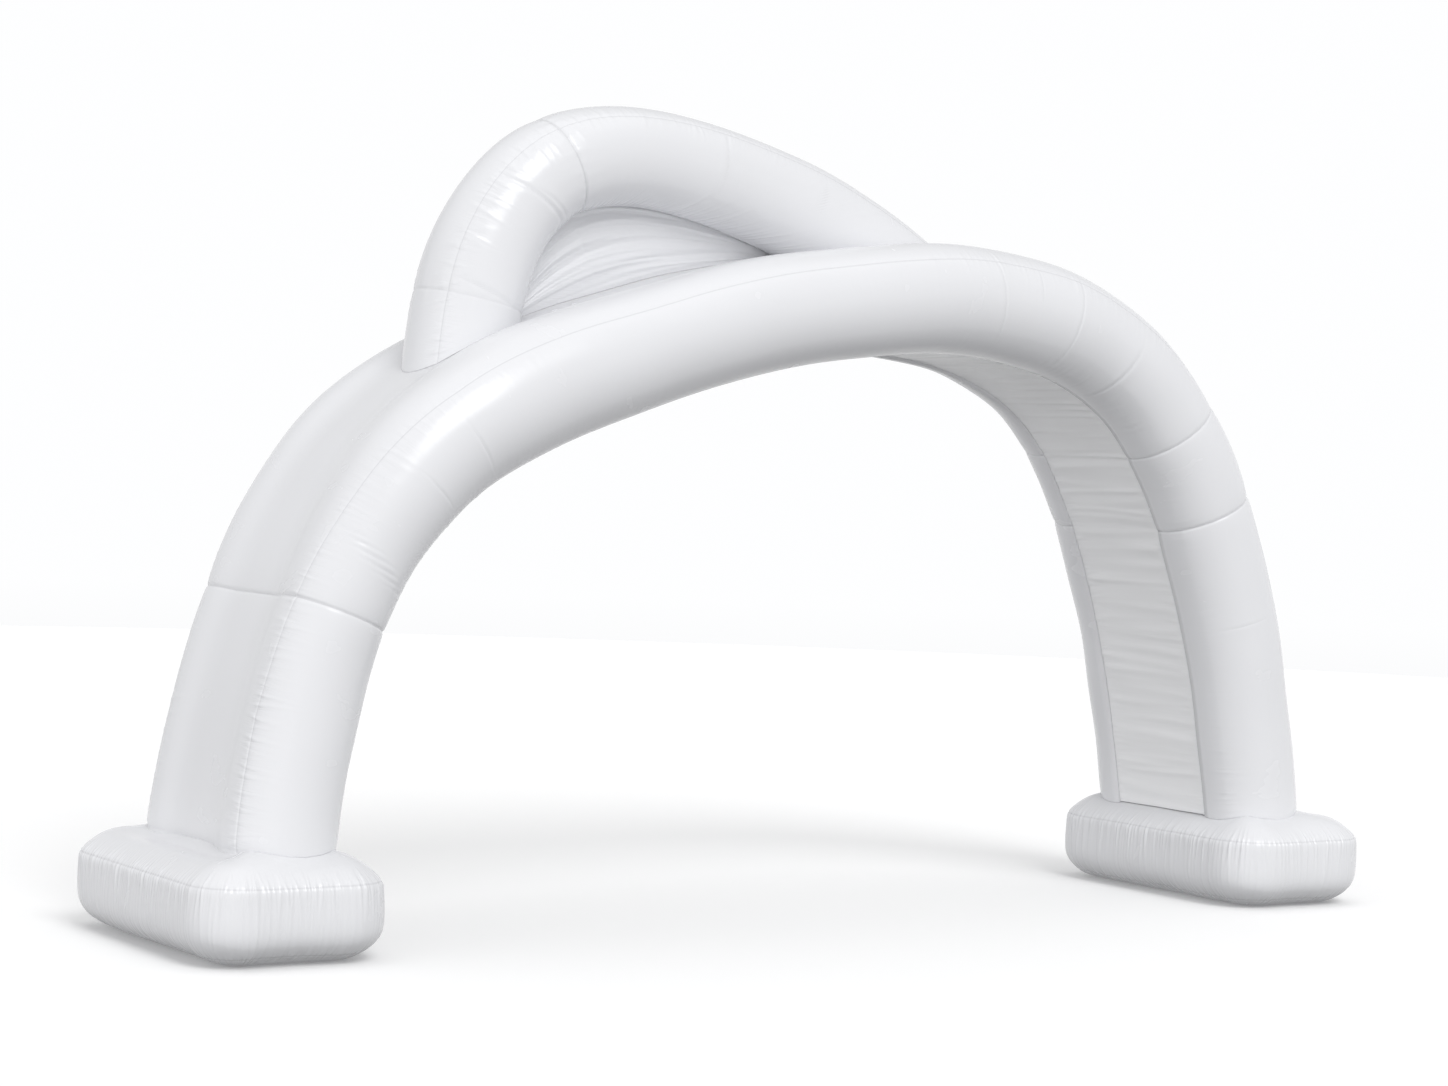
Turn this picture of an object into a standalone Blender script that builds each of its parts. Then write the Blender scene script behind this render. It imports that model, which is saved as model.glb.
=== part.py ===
"""Inflatable arch of air filled coated cloth, about 7 m wide and 4 m high.

The body is a deep arch: a round tube along its front and another along its back, joined
by a taut shallow valley on the outside and by a gathered web on the inside. It stands on two
puffy cushions. A round tube loops up from its left shoulder and comes down on its crown,
and a gathered header panel closes the space below that loop.

Frame: metres, +X along the span, +Y from front to back, +Z up. The origin lies on the
ground, midway between the feet.
"""

import math
import random
from typing import NamedTuple

import bmesh
import bpy
import numpy as np

# Clearances
GAP = 0.0004
WEB_CLEARANCE = 0.001
FOOT_CLEARANCE = 0.006

# Main sizes
TUBE_OFFSET = 0.412
WEB_HALF_WIDTH = 0.362
SIDE_VALLEY = 0.030
SIDE_VALLEY_HALF_WIDTH = 0.282
CHANNEL_DEPTH = 0.046
WEB_RECESS = 0.020
CLOTH_THICKNESS = 0.002
CORNER_GROOVE = 0.004

# Facets
LINE_SAMPLES = 400
LOOP_SAMPLES = 160
TUBE_POINTS = 11
OUTER_SEAM_POINT = 2
INNER_SEAM_POINT = 8
BODY_STEP = 0.155
SEAM_FLANK = 0.035
SEAM_RING_REACH = 1.3
SEAM_CLEAR_REACH = 2.4
LOOP_POINTS = 20
LOOP_RINGS = 30
WEB_ROWS = 84
WEB_COLUMNS = 6
HEADER_COLUMNS = 26
HEADER_ROWS = 9


class Knot(NamedTuple):
    """A point of a tube's centre line and the tube's radius there."""

    x: float
    z: float
    radius: float


class Seam(NamedTuple):
    """A seam across a tube: its place along the centre line and how far it draws in."""

    along: float
    draw: float


class Ring(NamedTuple):
    """A level of a foot: how far it lies inside the widest outline, and its height."""

    inset: float
    z: float


class Fold(NamedTuple):
    """A soft ridge of gathered cloth between two places of a panel, as fractions."""

    start_across: float
    start_up: float
    end_across: float
    end_up: float
    height: float
    width: float


# Centre line of the arch, from the left foot to the right foot
ARCH = [
    Knot(-2.972, 0.360, 0.262),
    Knot(-2.953, 0.500, 0.261),
    Knot(-2.847, 1.105, 0.252),
    Knot(-2.662, 1.685, 0.253),
    Knot(-2.336, 2.197, 0.283),
    Knot(-1.852, 2.557, 0.305),
    Knot(-1.224, 2.802, 0.293),
    Knot(-0.620, 2.988, 0.286),
    Knot(0.000, 3.109, 0.279),
    Knot(0.667, 3.176, 0.280),
    Knot(1.382, 3.099, 0.283),
    Knot(2.032, 2.756, 0.272),
    Knot(2.405, 2.248, 0.278),
    Knot(2.644, 1.677, 0.280),
    Knot(2.798, 1.095, 0.275),
    Knot(2.909, 0.500, 0.272),
    Knot(2.933, 0.360, 0.272),
]

# Seams across the arch, in metres along its centre line
ARCH_SEAMS = [
    Seam(1.220, 0.009),
    Seam(5.390, 0.004),
    Seam(6.900, 0.009),
    Seam(7.400, 0.009),
]

# Centre line of the crown loop, from the left shoulder over to the crown
LOOP_Y = -0.030
LOOP = [
    Knot(-1.910, 2.617, 0.272),
    Knot(-1.863, 3.035, 0.266),
    Knot(-1.716, 3.419, 0.258),
    Knot(-1.439, 3.687, 0.249),
    Knot(-1.017, 3.788, 0.242),
    Knot(-0.546, 3.740, 0.245),
    Knot(-0.025, 3.598, 0.256),
    Knot(0.467, 3.372, 0.270),
    Knot(0.921, 3.078, 0.283),
]
LOOP_SEAMS = [
    Seam(0.410, 0.007),
    Seam(1.260, 0.008),
    Seam(2.100, 0.003),
]
LOOP_ROOT_DEPTH = 0.050
LOOP_ROOT_EASE = 0.100

# Feet
FOOT_X = 3.000
FOOT_HALF_WIDTH = 0.480
FOOT_HALF_DEPTH = 0.843
FOOT_CORNER = 0.265
FOOT_CORNER_SHRINK = 1.0
FOOT_CORNER_LEAST = 0.050
FOOT_CORNER_MOST = 0.95
FOOT_CORNER_POINTS = 8
FOOT_SIDE_POINTS = 5
FOOT_END_POINTS = 1
FOOT_PUCKER = 0.005
FOOT_RINGS = [
    Ring(0.220, 0.000),
    Ring(0.155, 0.012),
    Ring(0.088, 0.046),
    Ring(0.042, 0.081),
    Ring(0.011, 0.126),
    Ring(0.000, 0.185),
    Ring(0.001, 0.250),
    Ring(0.007, 0.315),
    Ring(0.018, 0.363),
    Ring(0.050, 0.401),
    Ring(0.095, 0.438),
    Ring(0.155, 0.470),
    Ring(0.235, 0.493),
    Ring(0.330, 0.503),
]
FOOT_CROWN_RING = 6
FOOT_SEAM_RINGS = (2, 8)

# Gathered header panel under the loop
HEADER_Y = 0.020
HEADER_TUCK = 0.020
HEADER_LEAST = 0.015
HEADER_BELLY = 0.012
HEADER_FOLDS = [
    Fold(0.00, 0.25, 0.55, 0.30, 0.009, 0.060),
    Fold(0.03, 0.45, 0.75, 0.55, -0.008, 0.055),
    Fold(0.05, 0.62, 0.50, 0.60, 0.010, 0.050),
    Fold(0.10, 0.80, 0.85, 0.75, 0.008, 0.060),
    Fold(0.30, 0.15, 0.95, 0.35, -0.007, 0.070),
    Fold(0.35, 0.90, 0.70, 0.86, -0.009, 0.045),
]

# Gathers of the inner web
WEB_GATHER_PITCH = 0.205
WEB_GATHER_HEIGHT = 0.007
WEB_GATHER_WIDTH = 0.055
WEB_GATHER_MARGIN = 0.1
WEB_GATHER_LEAN = 0.05
WEB_GATHER_LEAST = 0.5
WEB_GATHER_SPREAD = 0.3
WEB_GATHER_BIAS = 0.45
WEB_END_REACH = 0.3
WEB_END_SAMPLES = 301
WEB_SEED = 11
FOOT_SEED = 5


def spline(places, values, at):
    """Return a natural cubic spline through values at places, read at new places."""
    steps = np.diff(places)
    count = len(places)
    matrix = np.eye(count)
    right = np.zeros(count)
    slopes = np.diff(values) / steps
    for row in range(1, count - 1):
        matrix[row, row - 1:row + 2] = (
            steps[row - 1],
            2.0 * (steps[row - 1] + steps[row]),
            steps[row],
        )
        right[row] = 6.0 * (slopes[row] - slopes[row - 1])
    bend = np.linalg.solve(matrix, right)
    cell = np.clip(np.searchsorted(places, at) - 1, 0, count - 2)
    step = steps[cell]
    after = (at - places[cell]) / step
    before = 1.0 - after
    curve = before * values[cell] + after * values[cell + 1]
    curve += (before ** 3 - before) * bend[cell] * step ** 2 / 6.0
    curve += (after ** 3 - after) * bend[cell + 1] * step ** 2 / 6.0
    return curve


class CentreLine:
    """A smooth centre line in an upright plane, read by its length from the left end."""

    def __init__(self, knots, seams):
        self.knots = knots
        self.seams = seams
        x = np.array([knot.x for knot in knots])
        z = np.array([knot.z for knot in knots])
        chords = np.hypot(np.diff(x), np.diff(z))
        self.places = np.concatenate([[0.0], np.cumsum(chords)])
        self.x = x
        self.z = z
        self.radii = np.array([knot.radius for knot in knots])
        self.length = float(self.places[-1])

    def read(self, along):
        """Return the point, the outward normal and the radius at each length."""
        along = np.asarray(along, dtype=float)
        reach = 0.001
        x = spline(self.places, self.x, along)
        z = spline(self.places, self.z, along)
        dx = spline(self.places, self.x, along + reach) - x
        dz = spline(self.places, self.z, along + reach) - z
        size = np.hypot(dx, dz)
        radius = spline(self.places, self.radii, along)
        for seam in self.seams:
            radius = radius - seam.draw * np.exp(-((along - seam.along) / SEAM_FLANK) ** 4)
        return x, z, -dz / size, dx / size, radius

    def stations(self, first, last, step):
        """Return lengths about a step apart, with three close ones at each seam."""
        count = int(round((last - first) / step))
        seamed = []
        beside = SEAM_RING_REACH * SEAM_FLANK
        for seam in self.seams:
            seamed += [seam.along - beside, seam.along, seam.along + beside]
        plain = [first + (last - first) * index / count for index in range(count + 1)]
        near = SEAM_CLEAR_REACH * SEAM_FLANK
        kept = [
            along
            for along in plain
            if all(abs(along - seam.along) > near for seam in self.seams)
        ]
        return sorted(kept + [along for along in seamed if first < along < last])


ARCH_LINE = CentreLine(ARCH, ARCH_SEAMS)
LOOP_LINE = CentreLine(LOOP, LOOP_SEAMS)


def make_material(name, shade, roughness):
    """Return a pale coated cloth with the given grey shade and roughness."""
    material = bpy.data.materials.new(name)
    material.use_nodes = True
    surface = material.node_tree.nodes["Principled BSDF"]
    surface.inputs["Base Color"].default_value = (shade, shade, shade * 1.01, 1.0)
    surface.inputs["Roughness"].default_value = roughness
    surface.inputs["Metallic"].default_value = 0.0
    return material


def finish_mesh(shape, name, material):
    """Close a bmesh into a smooth shaded object in the scene."""
    bmesh.ops.recalc_face_normals(shape, faces=shape.faces)
    mesh = bpy.data.meshes.new(name)
    shape.to_mesh(mesh)
    shape.free()
    mesh.shade_smooth()
    thing = bpy.data.objects.new(name, mesh)
    bpy.context.scene.collection.objects.link(thing)
    if material is not None:
        mesh.materials.append(material)
    return thing


def sweep(name, rings, material):
    """Extrude a closed section from ring to ring and close both ends."""
    shape = bmesh.new()
    face = shape.faces.new([shape.verts.new(point) for point in rings[0]])
    for ring in rings[1:]:
        face = bmesh.ops.extrude_discrete_faces(shape, faces=[face])["faces"][0]
        for corner, point in zip(face.verts, ring):
            corner.co = point
    open_edges = [edge for edge in shape.edges if edge.is_boundary]
    bmesh.ops.holes_fill(shape, edges=open_edges, sides=0)
    return finish_mesh(shape, name, material)


def as_cutter(thing):
    """Mark an object as a guide that only shapes its neighbours."""
    thing.hide_render = True
    thing.display_type = "WIRE"
    return thing


def cut(thing, cutter):
    """Trim an object where it would enter a slightly grown copy of its neighbour."""
    trim = thing.modifiers.new("Trim " + cutter.name, "BOOLEAN")
    trim.operation = "DIFFERENCE"
    trim.solver = "EXACT"
    trim.object = cutter


def cloth_sheet(name, columns, rows, place, material):
    """Lay a grid on the surface that place(across, up) gives, and give it thickness."""
    shape = bmesh.new()
    bmesh.ops.create_grid(shape, x_segments=columns, y_segments=rows, size=1.0)
    for vertex in shape.verts:
        across = 0.5 + 0.5 * vertex.co.x
        up = 0.5 + 0.5 * vertex.co.y
        vertex.co = place(across, up)
    sheet = finish_mesh(shape, name, material)
    wall = sheet.modifiers.new("Cloth", "SOLIDIFY")
    wall.thickness = CLOTH_THICKNESS
    wall.offset = 0.0
    return sheet


def body_section(radius, growth):
    """Return the arch's closed section as pairs of outward height and depth."""
    wall = TUBE_OFFSET - WEB_HALF_WIDTH
    last = -0.5 * math.pi - math.asin(wall / radius)
    half = [(radius - SIDE_VALLEY + growth, -SIDE_VALLEY_HALF_WIDTH)]
    for index in range(TUBE_POINTS):
        angle = 0.5 * math.pi + (last - 0.5 * math.pi) * index / (TUBE_POINTS - 1)
        groove = CORNER_GROOVE if index in (OUTER_SEAM_POINT, INNER_SEAM_POINT) else 0.0
        reach = radius - groove + growth
        half.append((reach * math.sin(angle), -TUBE_OFFSET - reach * math.cos(angle)))
    floor = CHANNEL_DEPTH - radius - growth
    half.append((floor, -WEB_HALF_WIDTH))
    back = [(height, -depth) for height, depth in reversed(half)]
    return half + back


def body_rings(growth=0.0):
    """Return the arch's rings of points, from the left foot to the right foot."""
    lengths = ARCH_LINE.stations(0.0, ARCH_LINE.length, BODY_STEP)
    rings = []
    for x, z, normal_x, normal_z, radius in zip(*ARCH_LINE.read(lengths)):
        rings.append([
            (x + height * normal_x, depth, z + height * normal_z)
            for height, depth in body_section(radius, growth)
        ])
    return rings


def outer_height(x):
    """Return the height of the arch's outer side above a place along the span."""
    lengths = np.linspace(0.0, ARCH_LINE.length, LINE_SAMPLES)
    centre_x, centre_z, normal_x, normal_z, radius = ARCH_LINE.read(lengths)
    reach = radius - SIDE_VALLEY
    return float(np.interp(x, centre_x + reach * normal_x, centre_z + reach * normal_z))


def loop_point(along, angle, growth=0.0):
    """Return a point of the loop's tube, its angle counted from the outer side."""
    x, z, normal_x, normal_z, radius = LOOP_LINE.read(along)
    reach = float(radius) + growth
    height = reach * math.cos(angle)
    return (
        float(x + height * normal_x),
        LOOP_Y + reach * math.sin(angle),
        float(z + height * normal_z),
    )


def loop_span(angle, rise):
    """Return where one line along the loop passes a rise above the arch, up and down."""
    lengths = np.linspace(0.0, LOOP_LINE.length, LOOP_SAMPLES)
    clear = []
    for along in lengths:
        x, _, z = loop_point(along, angle)
        if z > outer_height(x) + rise:
            clear.append(along)
    return clear[0], clear[-1]


def loop_rings(growth=0.0):
    """Return the loop's rings: square to it along its run, and slanted at its roots."""
    angles = [2.0 * math.pi * index / LOOP_POINTS for index in range(LOOP_POINTS)]
    spans = [loop_span(angle, -LOOP_ROOT_DEPTH) for angle in angles]
    rise = max(start for start, _ in spans) + LOOP_ROOT_EASE
    land = min(end for _, end in spans) - LOOP_ROOT_EASE
    lengths = LOOP_LINE.stations(0.0, LOOP_LINE.length, LOOP_LINE.length / LOOP_RINGS)
    rings = []
    for along in lengths:
        ring = []
        for angle, (start, end) in zip(angles, spans):
            place = along
            if along < rise:
                place = start + (rise - start) * along / rise
            if along > land:
                place = land + (end - land) * (along - land) / (LOOP_LINE.length - land)
            ring.append(loop_point(place, angle, growth))
        rings.append(ring)
    return rings


def foot_outline(inset):
    """Return a rounded oblong that lies inset from a foot's widest outline."""
    half_x = FOOT_HALF_WIDTH - inset
    half_y = FOOT_HALF_DEPTH - inset
    corner = max(FOOT_CORNER - FOOT_CORNER_SHRINK * inset, FOOT_CORNER_LEAST)
    corner = min(corner, FOOT_CORNER_MOST * half_x)
    points = []
    for quarter in range(4):
        sign_x = (1, -1, -1, 1)[quarter]
        sign_y = (1, 1, -1, -1)[quarter]
        centre = (sign_x * (half_x - corner), sign_y * (half_y - corner))
        for index in range(FOOT_CORNER_POINTS):
            turn = 0.5 * math.pi * (quarter + index / (FOOT_CORNER_POINTS - 1))
            points.append((
                centre[0] + corner * math.cos(turn),
                centre[1] + corner * math.sin(turn),
            ))
        straight = FOOT_END_POINTS if quarter % 2 == 0 else FOOT_SIDE_POINTS
        turned = (-sign_x, sign_y) if quarter % 2 == 0 else (sign_x, -sign_y)
        end_x = turned[0] * (half_x if quarter % 2 else half_x - corner)
        end_y = turned[1] * (half_y - corner if quarter % 2 else half_y)
        begin = points[-1]
        for index in range(1, straight + 1):
            part = index / (straight + 1)
            points.append((
                begin[0] + (end_x - begin[0]) * part,
                begin[1] + (end_y - begin[1]) * part,
            ))
    return points


def foot_rings(side, growth=0.0):
    """Return a foot's rings, with uneven puckers where its band is sewn on."""
    chance = random.Random(FOOT_SEED + side)
    rings = []
    for index, level in enumerate(FOOT_RINGS):
        lift = growth if level.z > 0.0 else 0.0
        outline = foot_outline(level.inset)
        ring = []
        for x, y in outline:
            pucker = 0.0
            if index in FOOT_SEAM_RINGS:
                pucker = chance.uniform(0.0, FOOT_PUCKER)
            scale = 1.0 - (pucker - growth) / math.hypot(x, y)
            ring.append((side * FOOT_X + x * scale, y * scale, level.z + lift))
        rings.append(ring)
    return rings


def foot_top(inset):
    """Return the height of a foot's crown at a distance inside its outline."""
    crown = FOOT_RINGS[FOOT_CROWN_RING:]
    return float(np.interp(inset, [ring.inset for ring in crown], [ring.z for ring in crown]))


def web_ends():
    """Return where the web starts and stops along the arch, just clear of the feet."""
    ends = []
    for side, start in ((-1, 0.0), (1, ARCH_LINE.length)):
        for along in np.linspace(start, start - side * WEB_END_REACH, WEB_END_SAMPLES):
            x, z, normal_x, normal_z, radius = (float(value) for value in ARCH_LINE.read(along))
            height = WEB_RECESS - radius
            edge_x = x + height * normal_x
            edge_z = z + height * normal_z
            inset = FOOT_HALF_WIDTH - abs(edge_x - side * FOOT_X)
            if edge_z > foot_top(inset + WEB_RECESS) + FOOT_CLEARANCE:
                ends.append(along)
                break
    return ends


def web_gathers(first, last):
    """Return the web's gathers, each with its place, lean, height and side."""
    chance = random.Random(WEB_SEED)
    gathers = []
    along = first + WEB_GATHER_MARGIN
    while along < last - WEB_GATHER_MARGIN:
        rise = WEB_GATHER_HEIGHT * chance.uniform(WEB_GATHER_LEAST, 1.0)
        gathers.append((
            along,
            chance.uniform(-WEB_GATHER_LEAN, WEB_GATHER_LEAN),
            rise * chance.choice((-1, 1)),
            chance.choice((-1, 1)),
        ))
        along += WEB_GATHER_PITCH * (1.0 + WEB_GATHER_SPREAD * chance.uniform(-1.0, 1.0))
    return gathers


def make_body(material, cutters):
    """Model the arch's body and trim its legs on the feet."""
    body = sweep("arch_body", body_rings(), material)
    for cutter in cutters:
        cut(body, cutter)
    return body


def make_web(material):
    """Model the gathered web that closes the arch's inner side between its tubes."""
    first, last = web_ends()
    gathers = web_gathers(first, last)
    half_width = WEB_HALF_WIDTH - WEB_CLEARANCE

    def place(across, up):
        """Return the web's point at a fraction of its width and of its length."""
        along = first + (last - first) * up
        depth = half_width * (2.0 * across - 1.0)
        x, z, normal_x, normal_z, radius = (float(value) for value in ARCH_LINE.read(along))
        height = WEB_RECESS - radius
        for centre, lean, rise, side in gathers:
            swing = 2.0 * across - 1.0
            distance = along - centre - lean * swing
            strength = 1.0 - WEB_GATHER_BIAS * (1.0 - side * swing)
            height += rise * strength * math.exp(-(distance / WEB_GATHER_WIDTH) ** 2)
        return (x + height * normal_x, depth, z + height * normal_z)

    return cloth_sheet("inner_web", WEB_COLUMNS, WEB_ROWS, place, material)


def make_header(material, cutters):
    """Model the gathered header panel between the loop and the arch's crown."""
    inner = math.pi
    start, end = loop_span(inner, HEADER_LEAST)
    low_x = loop_point(start, inner)[0]
    high_x = loop_point(end, inner)[0]

    def place(across, up):
        """Return the panel's point at a fraction of its width and of its height."""
        upper_x, _, upper_z = loop_point(start + (end - start) * across, inner, -HEADER_TUCK)
        lower_x = low_x + (high_x - low_x) * across
        lower_z = outer_height(lower_x) - HEADER_TUCK
        push = HEADER_BELLY * math.sin(math.pi * across) * math.sin(math.pi * up)
        for fold in HEADER_FOLDS:
            run = (across - fold.start_across) / (fold.end_across - fold.start_across)
            line = fold.start_up + (fold.end_up - fold.start_up) * run
            taper = math.sin(math.pi * min(max(run, 0.0), 1.0)) ** 0.5 if 0.0 < run < 1.0 else 0.0
            push += fold.height * taper * math.exp(-((up - line) / fold.width) ** 2)
        return (
            lower_x + (upper_x - lower_x) * up,
            HEADER_Y - push,
            lower_z + (upper_z - lower_z) * up,
        )

    header = cloth_sheet("header_panel", HEADER_COLUMNS, HEADER_ROWS, place, material)
    for cutter in cutters:
        cut(header, cutter)
    return header


def main():
    """Build every piece of the arch."""
    for thing in list(bpy.data.objects):
        bpy.data.objects.remove(thing, do_unlink=True)

    tube_cloth = make_material("tube_cloth", 0.83, 0.34)
    foot_cloth = make_material("foot_cloth", 0.82, 0.36)
    loop_cloth = make_material("loop_cloth", 0.83, 0.34)
    web_cloth = make_material("web_cloth", 0.79, 0.42)
    header_cloth = make_material("header_cloth", 0.80, 0.42)

    foot_cutters = []
    for side, name in ((-1, "foot_left"), (1, "foot_right")):
        sweep(name, foot_rings(side), foot_cloth)
        foot_cutters.append(as_cutter(sweep(name + "_room", foot_rings(side, GAP), None)))

    make_body(tube_cloth, foot_cutters)
    make_web(web_cloth)

    body_room = as_cutter(sweep("arch_body_room", body_rings(GAP), None))
    loop = sweep("crown_loop", loop_rings(), loop_cloth)
    cut(loop, body_room)
    loop_room = as_cutter(sweep("crown_loop_room", loop_rings(GAP), None))
    make_header(header_cloth, [body_room, loop_room])


main()
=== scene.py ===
"""Dresses the inflatable arch: its two feet, its body, its inner web, its crown loop and
its header panel, each a piece of white coated cloth with seams, puckers and gathers.

Frame: metres, +X along the span, +Y from the front to the back, +Z up.
"""

import logging
import math
from dataclasses import dataclass, field
from enum import Enum
from typing import Callable, Optional, Sequence

import bmesh
import bpy
import numpy as np
from mathutils import Matrix, Vector
from mathutils.bvhtree import BVHTree


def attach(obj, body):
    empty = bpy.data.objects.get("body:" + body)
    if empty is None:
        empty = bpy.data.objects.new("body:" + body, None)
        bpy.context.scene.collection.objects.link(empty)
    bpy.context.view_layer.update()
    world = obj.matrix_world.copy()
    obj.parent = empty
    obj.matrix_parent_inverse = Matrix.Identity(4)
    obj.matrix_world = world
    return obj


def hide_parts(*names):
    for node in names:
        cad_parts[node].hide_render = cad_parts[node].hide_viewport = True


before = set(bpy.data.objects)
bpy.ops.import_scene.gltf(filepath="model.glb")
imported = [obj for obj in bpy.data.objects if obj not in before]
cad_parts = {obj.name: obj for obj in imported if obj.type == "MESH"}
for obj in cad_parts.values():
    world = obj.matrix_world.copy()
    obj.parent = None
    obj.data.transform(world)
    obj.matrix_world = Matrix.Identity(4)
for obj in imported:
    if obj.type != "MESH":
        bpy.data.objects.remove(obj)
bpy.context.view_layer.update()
LOG = logging.getLogger("inflatable_arch")
# Attribute of the seam lines, which also carries painted shade along the creases of folds.
SEAM_AND_CREASE_SHADE_MARK = "seam"
GATHER_MARK = "gather"
FOOT_TRIES = 61
SWELLING = 0.45
SWELLING_WIDTH = 4.0
MARK_STEPS = (-0.012, -0.005, 0.0, 0.005, 0.012)
Array = np.ndarray
Table = tuple[tuple[float, float], ...]


class Side(Enum):
    """The two ends of the span."""

    LEFT = -1
    RIGHT = 1


class Hold(Enum):
    """How a sheet of cloth is held."""

    GATHERED = "gathered"


class NodeKind(Enum):
    """The shader nodes that the finishes use."""

    ATTRIBUTE = "ShaderNodeAttribute"
    BUMP = "ShaderNodeBump"
    COORDINATES = "ShaderNodeTexCoord"
    MAPPING = "ShaderNodeMapping"
    MATH = "ShaderNodeMath"
    MIX = "ShaderNodeMix"
    NOISE = "ShaderNodeTexNoise"
    SEPARATE = "ShaderNodeSeparateXYZ"


@dataclass(frozen=True)
class Knot:
    """A point of a tube's centre line and the tube's radius there."""

    x: float
    z: float
    radius: float


@dataclass(frozen=True)
class CrossSeam:
    """A seam across a tube: its place along it, how far it draws in, and its groove."""

    along: float
    draw: float
    groove: float
    mark: float = 0.8


@dataclass(frozen=True)
class Crease:
    """A short fold across a tube, centred at an angle, in degrees."""

    along: float
    angle: float
    half_turn: float
    depth: float
    width: float
    slant: float = 0.0

    def read(self, along: Array, turn: Array) -> tuple[Array, Array]:
        """Return how much of the fold reaches each point, and its distance from the fold.

        Args:
            along: Each point's length along the tube.
            turn: Each point's angle, in radians.

        Returns:
            The share, from 0 to 1, and the signed distance in metres.
        """
        offset = turn - math.radians(self.angle)
        reach = np.clip(1.0 - (offset / math.radians(self.half_turn)) ** 2, 0.0, 1.0)
        return reach, along - self.along - self.slant * offset

    def sink(self, along: Array, turn: Array) -> Array:
        """Return how deep the fold is, with the soft swelling on both sides of it.

        Args:
            along: Each point's length along the tube.
            turn: Each point's angle, in radians.

        Returns:
            The depth in metres, below nothing on the swelling.
        """
        reach, run = self.read(along, turn)
        swelling = SWELLING * bell(run, SWELLING_WIDTH * self.width)
        return self.depth * reach ** 0.7 * (bell(run, self.width) - swelling)


@dataclass(frozen=True)
class Level:
    """A level of a foot: how far it lies inside the widest outline, and its height."""

    inset: float
    z: float


@dataclass(frozen=True)
class Fold:
    """A soft ridge between two places of a panel, given as fractions of its sides."""

    start_across: float
    start_up: float
    end_across: float
    end_up: float
    height: float
    width: float


def spline(places: Array, values: Array, at: Array) -> Array:
    """Read a natural cubic spline.

    Args:
        places: The knots' places, in rising order.
        values: The value at each knot.
        at: Where the curve is read, in any shape.

    Returns:
        The curve's values, in the shape of at.
    """
    steps = np.diff(places)
    count = len(places)
    matrix = np.eye(count)
    right = np.zeros(count)
    slopes = np.diff(values) / steps
    for row in range(1, count - 1):
        matrix[row, row - 1:row + 2] = (
            steps[row - 1],
            2.0 * (steps[row - 1] + steps[row]),
            steps[row],
        )
        right[row] = 6.0 * (slopes[row] - slopes[row - 1])
    bend = np.linalg.solve(matrix, right)
    cell = np.clip(np.searchsorted(places, at) - 1, 0, count - 2)
    step = steps[cell]
    after = (at - places[cell]) / step
    before = 1.0 - after
    curve = before * values[cell] + after * values[cell + 1]
    curve = curve + (before ** 3 - before) * bend[cell] * step ** 2 / 6.0
    return curve + (after ** 3 - after) * bend[cell + 1] * step ** 2 / 6.0


def bell(distance: Array, width: float) -> Array:
    """Return a smooth hump of height one and the given half width."""
    return np.exp(-(distance / width) ** 2)


def marked(places: Array, marks: Sequence[float], near: float) -> Array:
    """Put edges on some marks.

    Args:
        places: Sorted places.
        marks: Places that must be among them.
        near: How close to a mark no other place is kept.

    Returns:
        The places with the marks, sorted.
    """
    marks = np.unique(np.clip(marks, places[0], places[-1]))
    gaps = np.abs(places[:, None] - marks[None, :]).min(axis=1)
    kept = places[gaps > near]
    ends = [place for place in (places[0], places[-1]) if np.abs(marks - place).min() > 0.0]
    return np.unique(np.concatenate([kept, marks, ends]))


def paced(length: float, count: int, spans: Sequence[tuple[float, float]], pace: float) -> Array:
    """Spread places along a length, closer together over some spans.

    Args:
        length: The length.
        count: How many places there are.
        spans: The first and last place of each span that needs more.
        pace: How closely the rest is covered, as a part of the spans' own pace.

    Returns:
        The places, from nothing to the length.
    """
    fine = np.linspace(0.0, length, 4000)
    weight = np.full(fine.shape, pace)
    for first, last in spans:
        edge = np.minimum(fine - first, last - fine)
        weight = np.maximum(weight, pace + (1.0 - pace) * np.clip(edge / 0.10 + 1.0, 0.0, 1.0))
    total = np.concatenate([[0.0], np.cumsum(0.5 * (weight[1:] + weight[:-1]) * np.diff(fine))])
    return np.interp(np.linspace(0.0, total[-1], count), total, fine)


class CentreLine:
    """A tube's smooth centre line in an upright plane, read by its length."""

    REACH = 0.001
    SEAM_HALF_WIDTH = 0.045

    def __init__(self, knots: Sequence[Knot], seams: Sequence[CrossSeam]) -> None:
        """Prepare the curve through the knots.

        Args:
            knots: The points of the line, from the left end.
            seams: The seams across the tube.
        """
        self.x = np.array([knot.x for knot in knots])
        self.z = np.array([knot.z for knot in knots])
        self.radii = np.array([knot.radius for knot in knots])
        chords = np.hypot(np.diff(self.x), np.diff(self.z))
        self.places = np.concatenate([[0.0], np.cumsum(chords)])
        self.length = float(self.places[-1])
        self.seams = tuple(seams)

    def read(self, along: Array) -> tuple[Array, Array, Array, Array, Array]:
        """Read the line.

        Args:
            along: Lengths from the left end, in any shape.

        Returns:
            The x and z of the line, the x and z of its outward normal, and the radius.
        """
        x = spline(self.places, self.x, along)
        z = spline(self.places, self.z, along)
        step_x = spline(self.places, self.x, along + self.REACH) - x
        step_z = spline(self.places, self.z, along + self.REACH) - z
        size = np.hypot(step_x, step_z)
        radius = spline(self.places, self.radii, along)
        for seam in self.seams:
            distance = np.abs(along - seam.along)
            radius = radius - seam.draw * np.exp(-distance / self.SEAM_HALF_WIDTH)
            radius = radius - seam.groove * bell(distance, 0.007)
        return x, z, -step_z / size, step_x / size, radius


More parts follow.
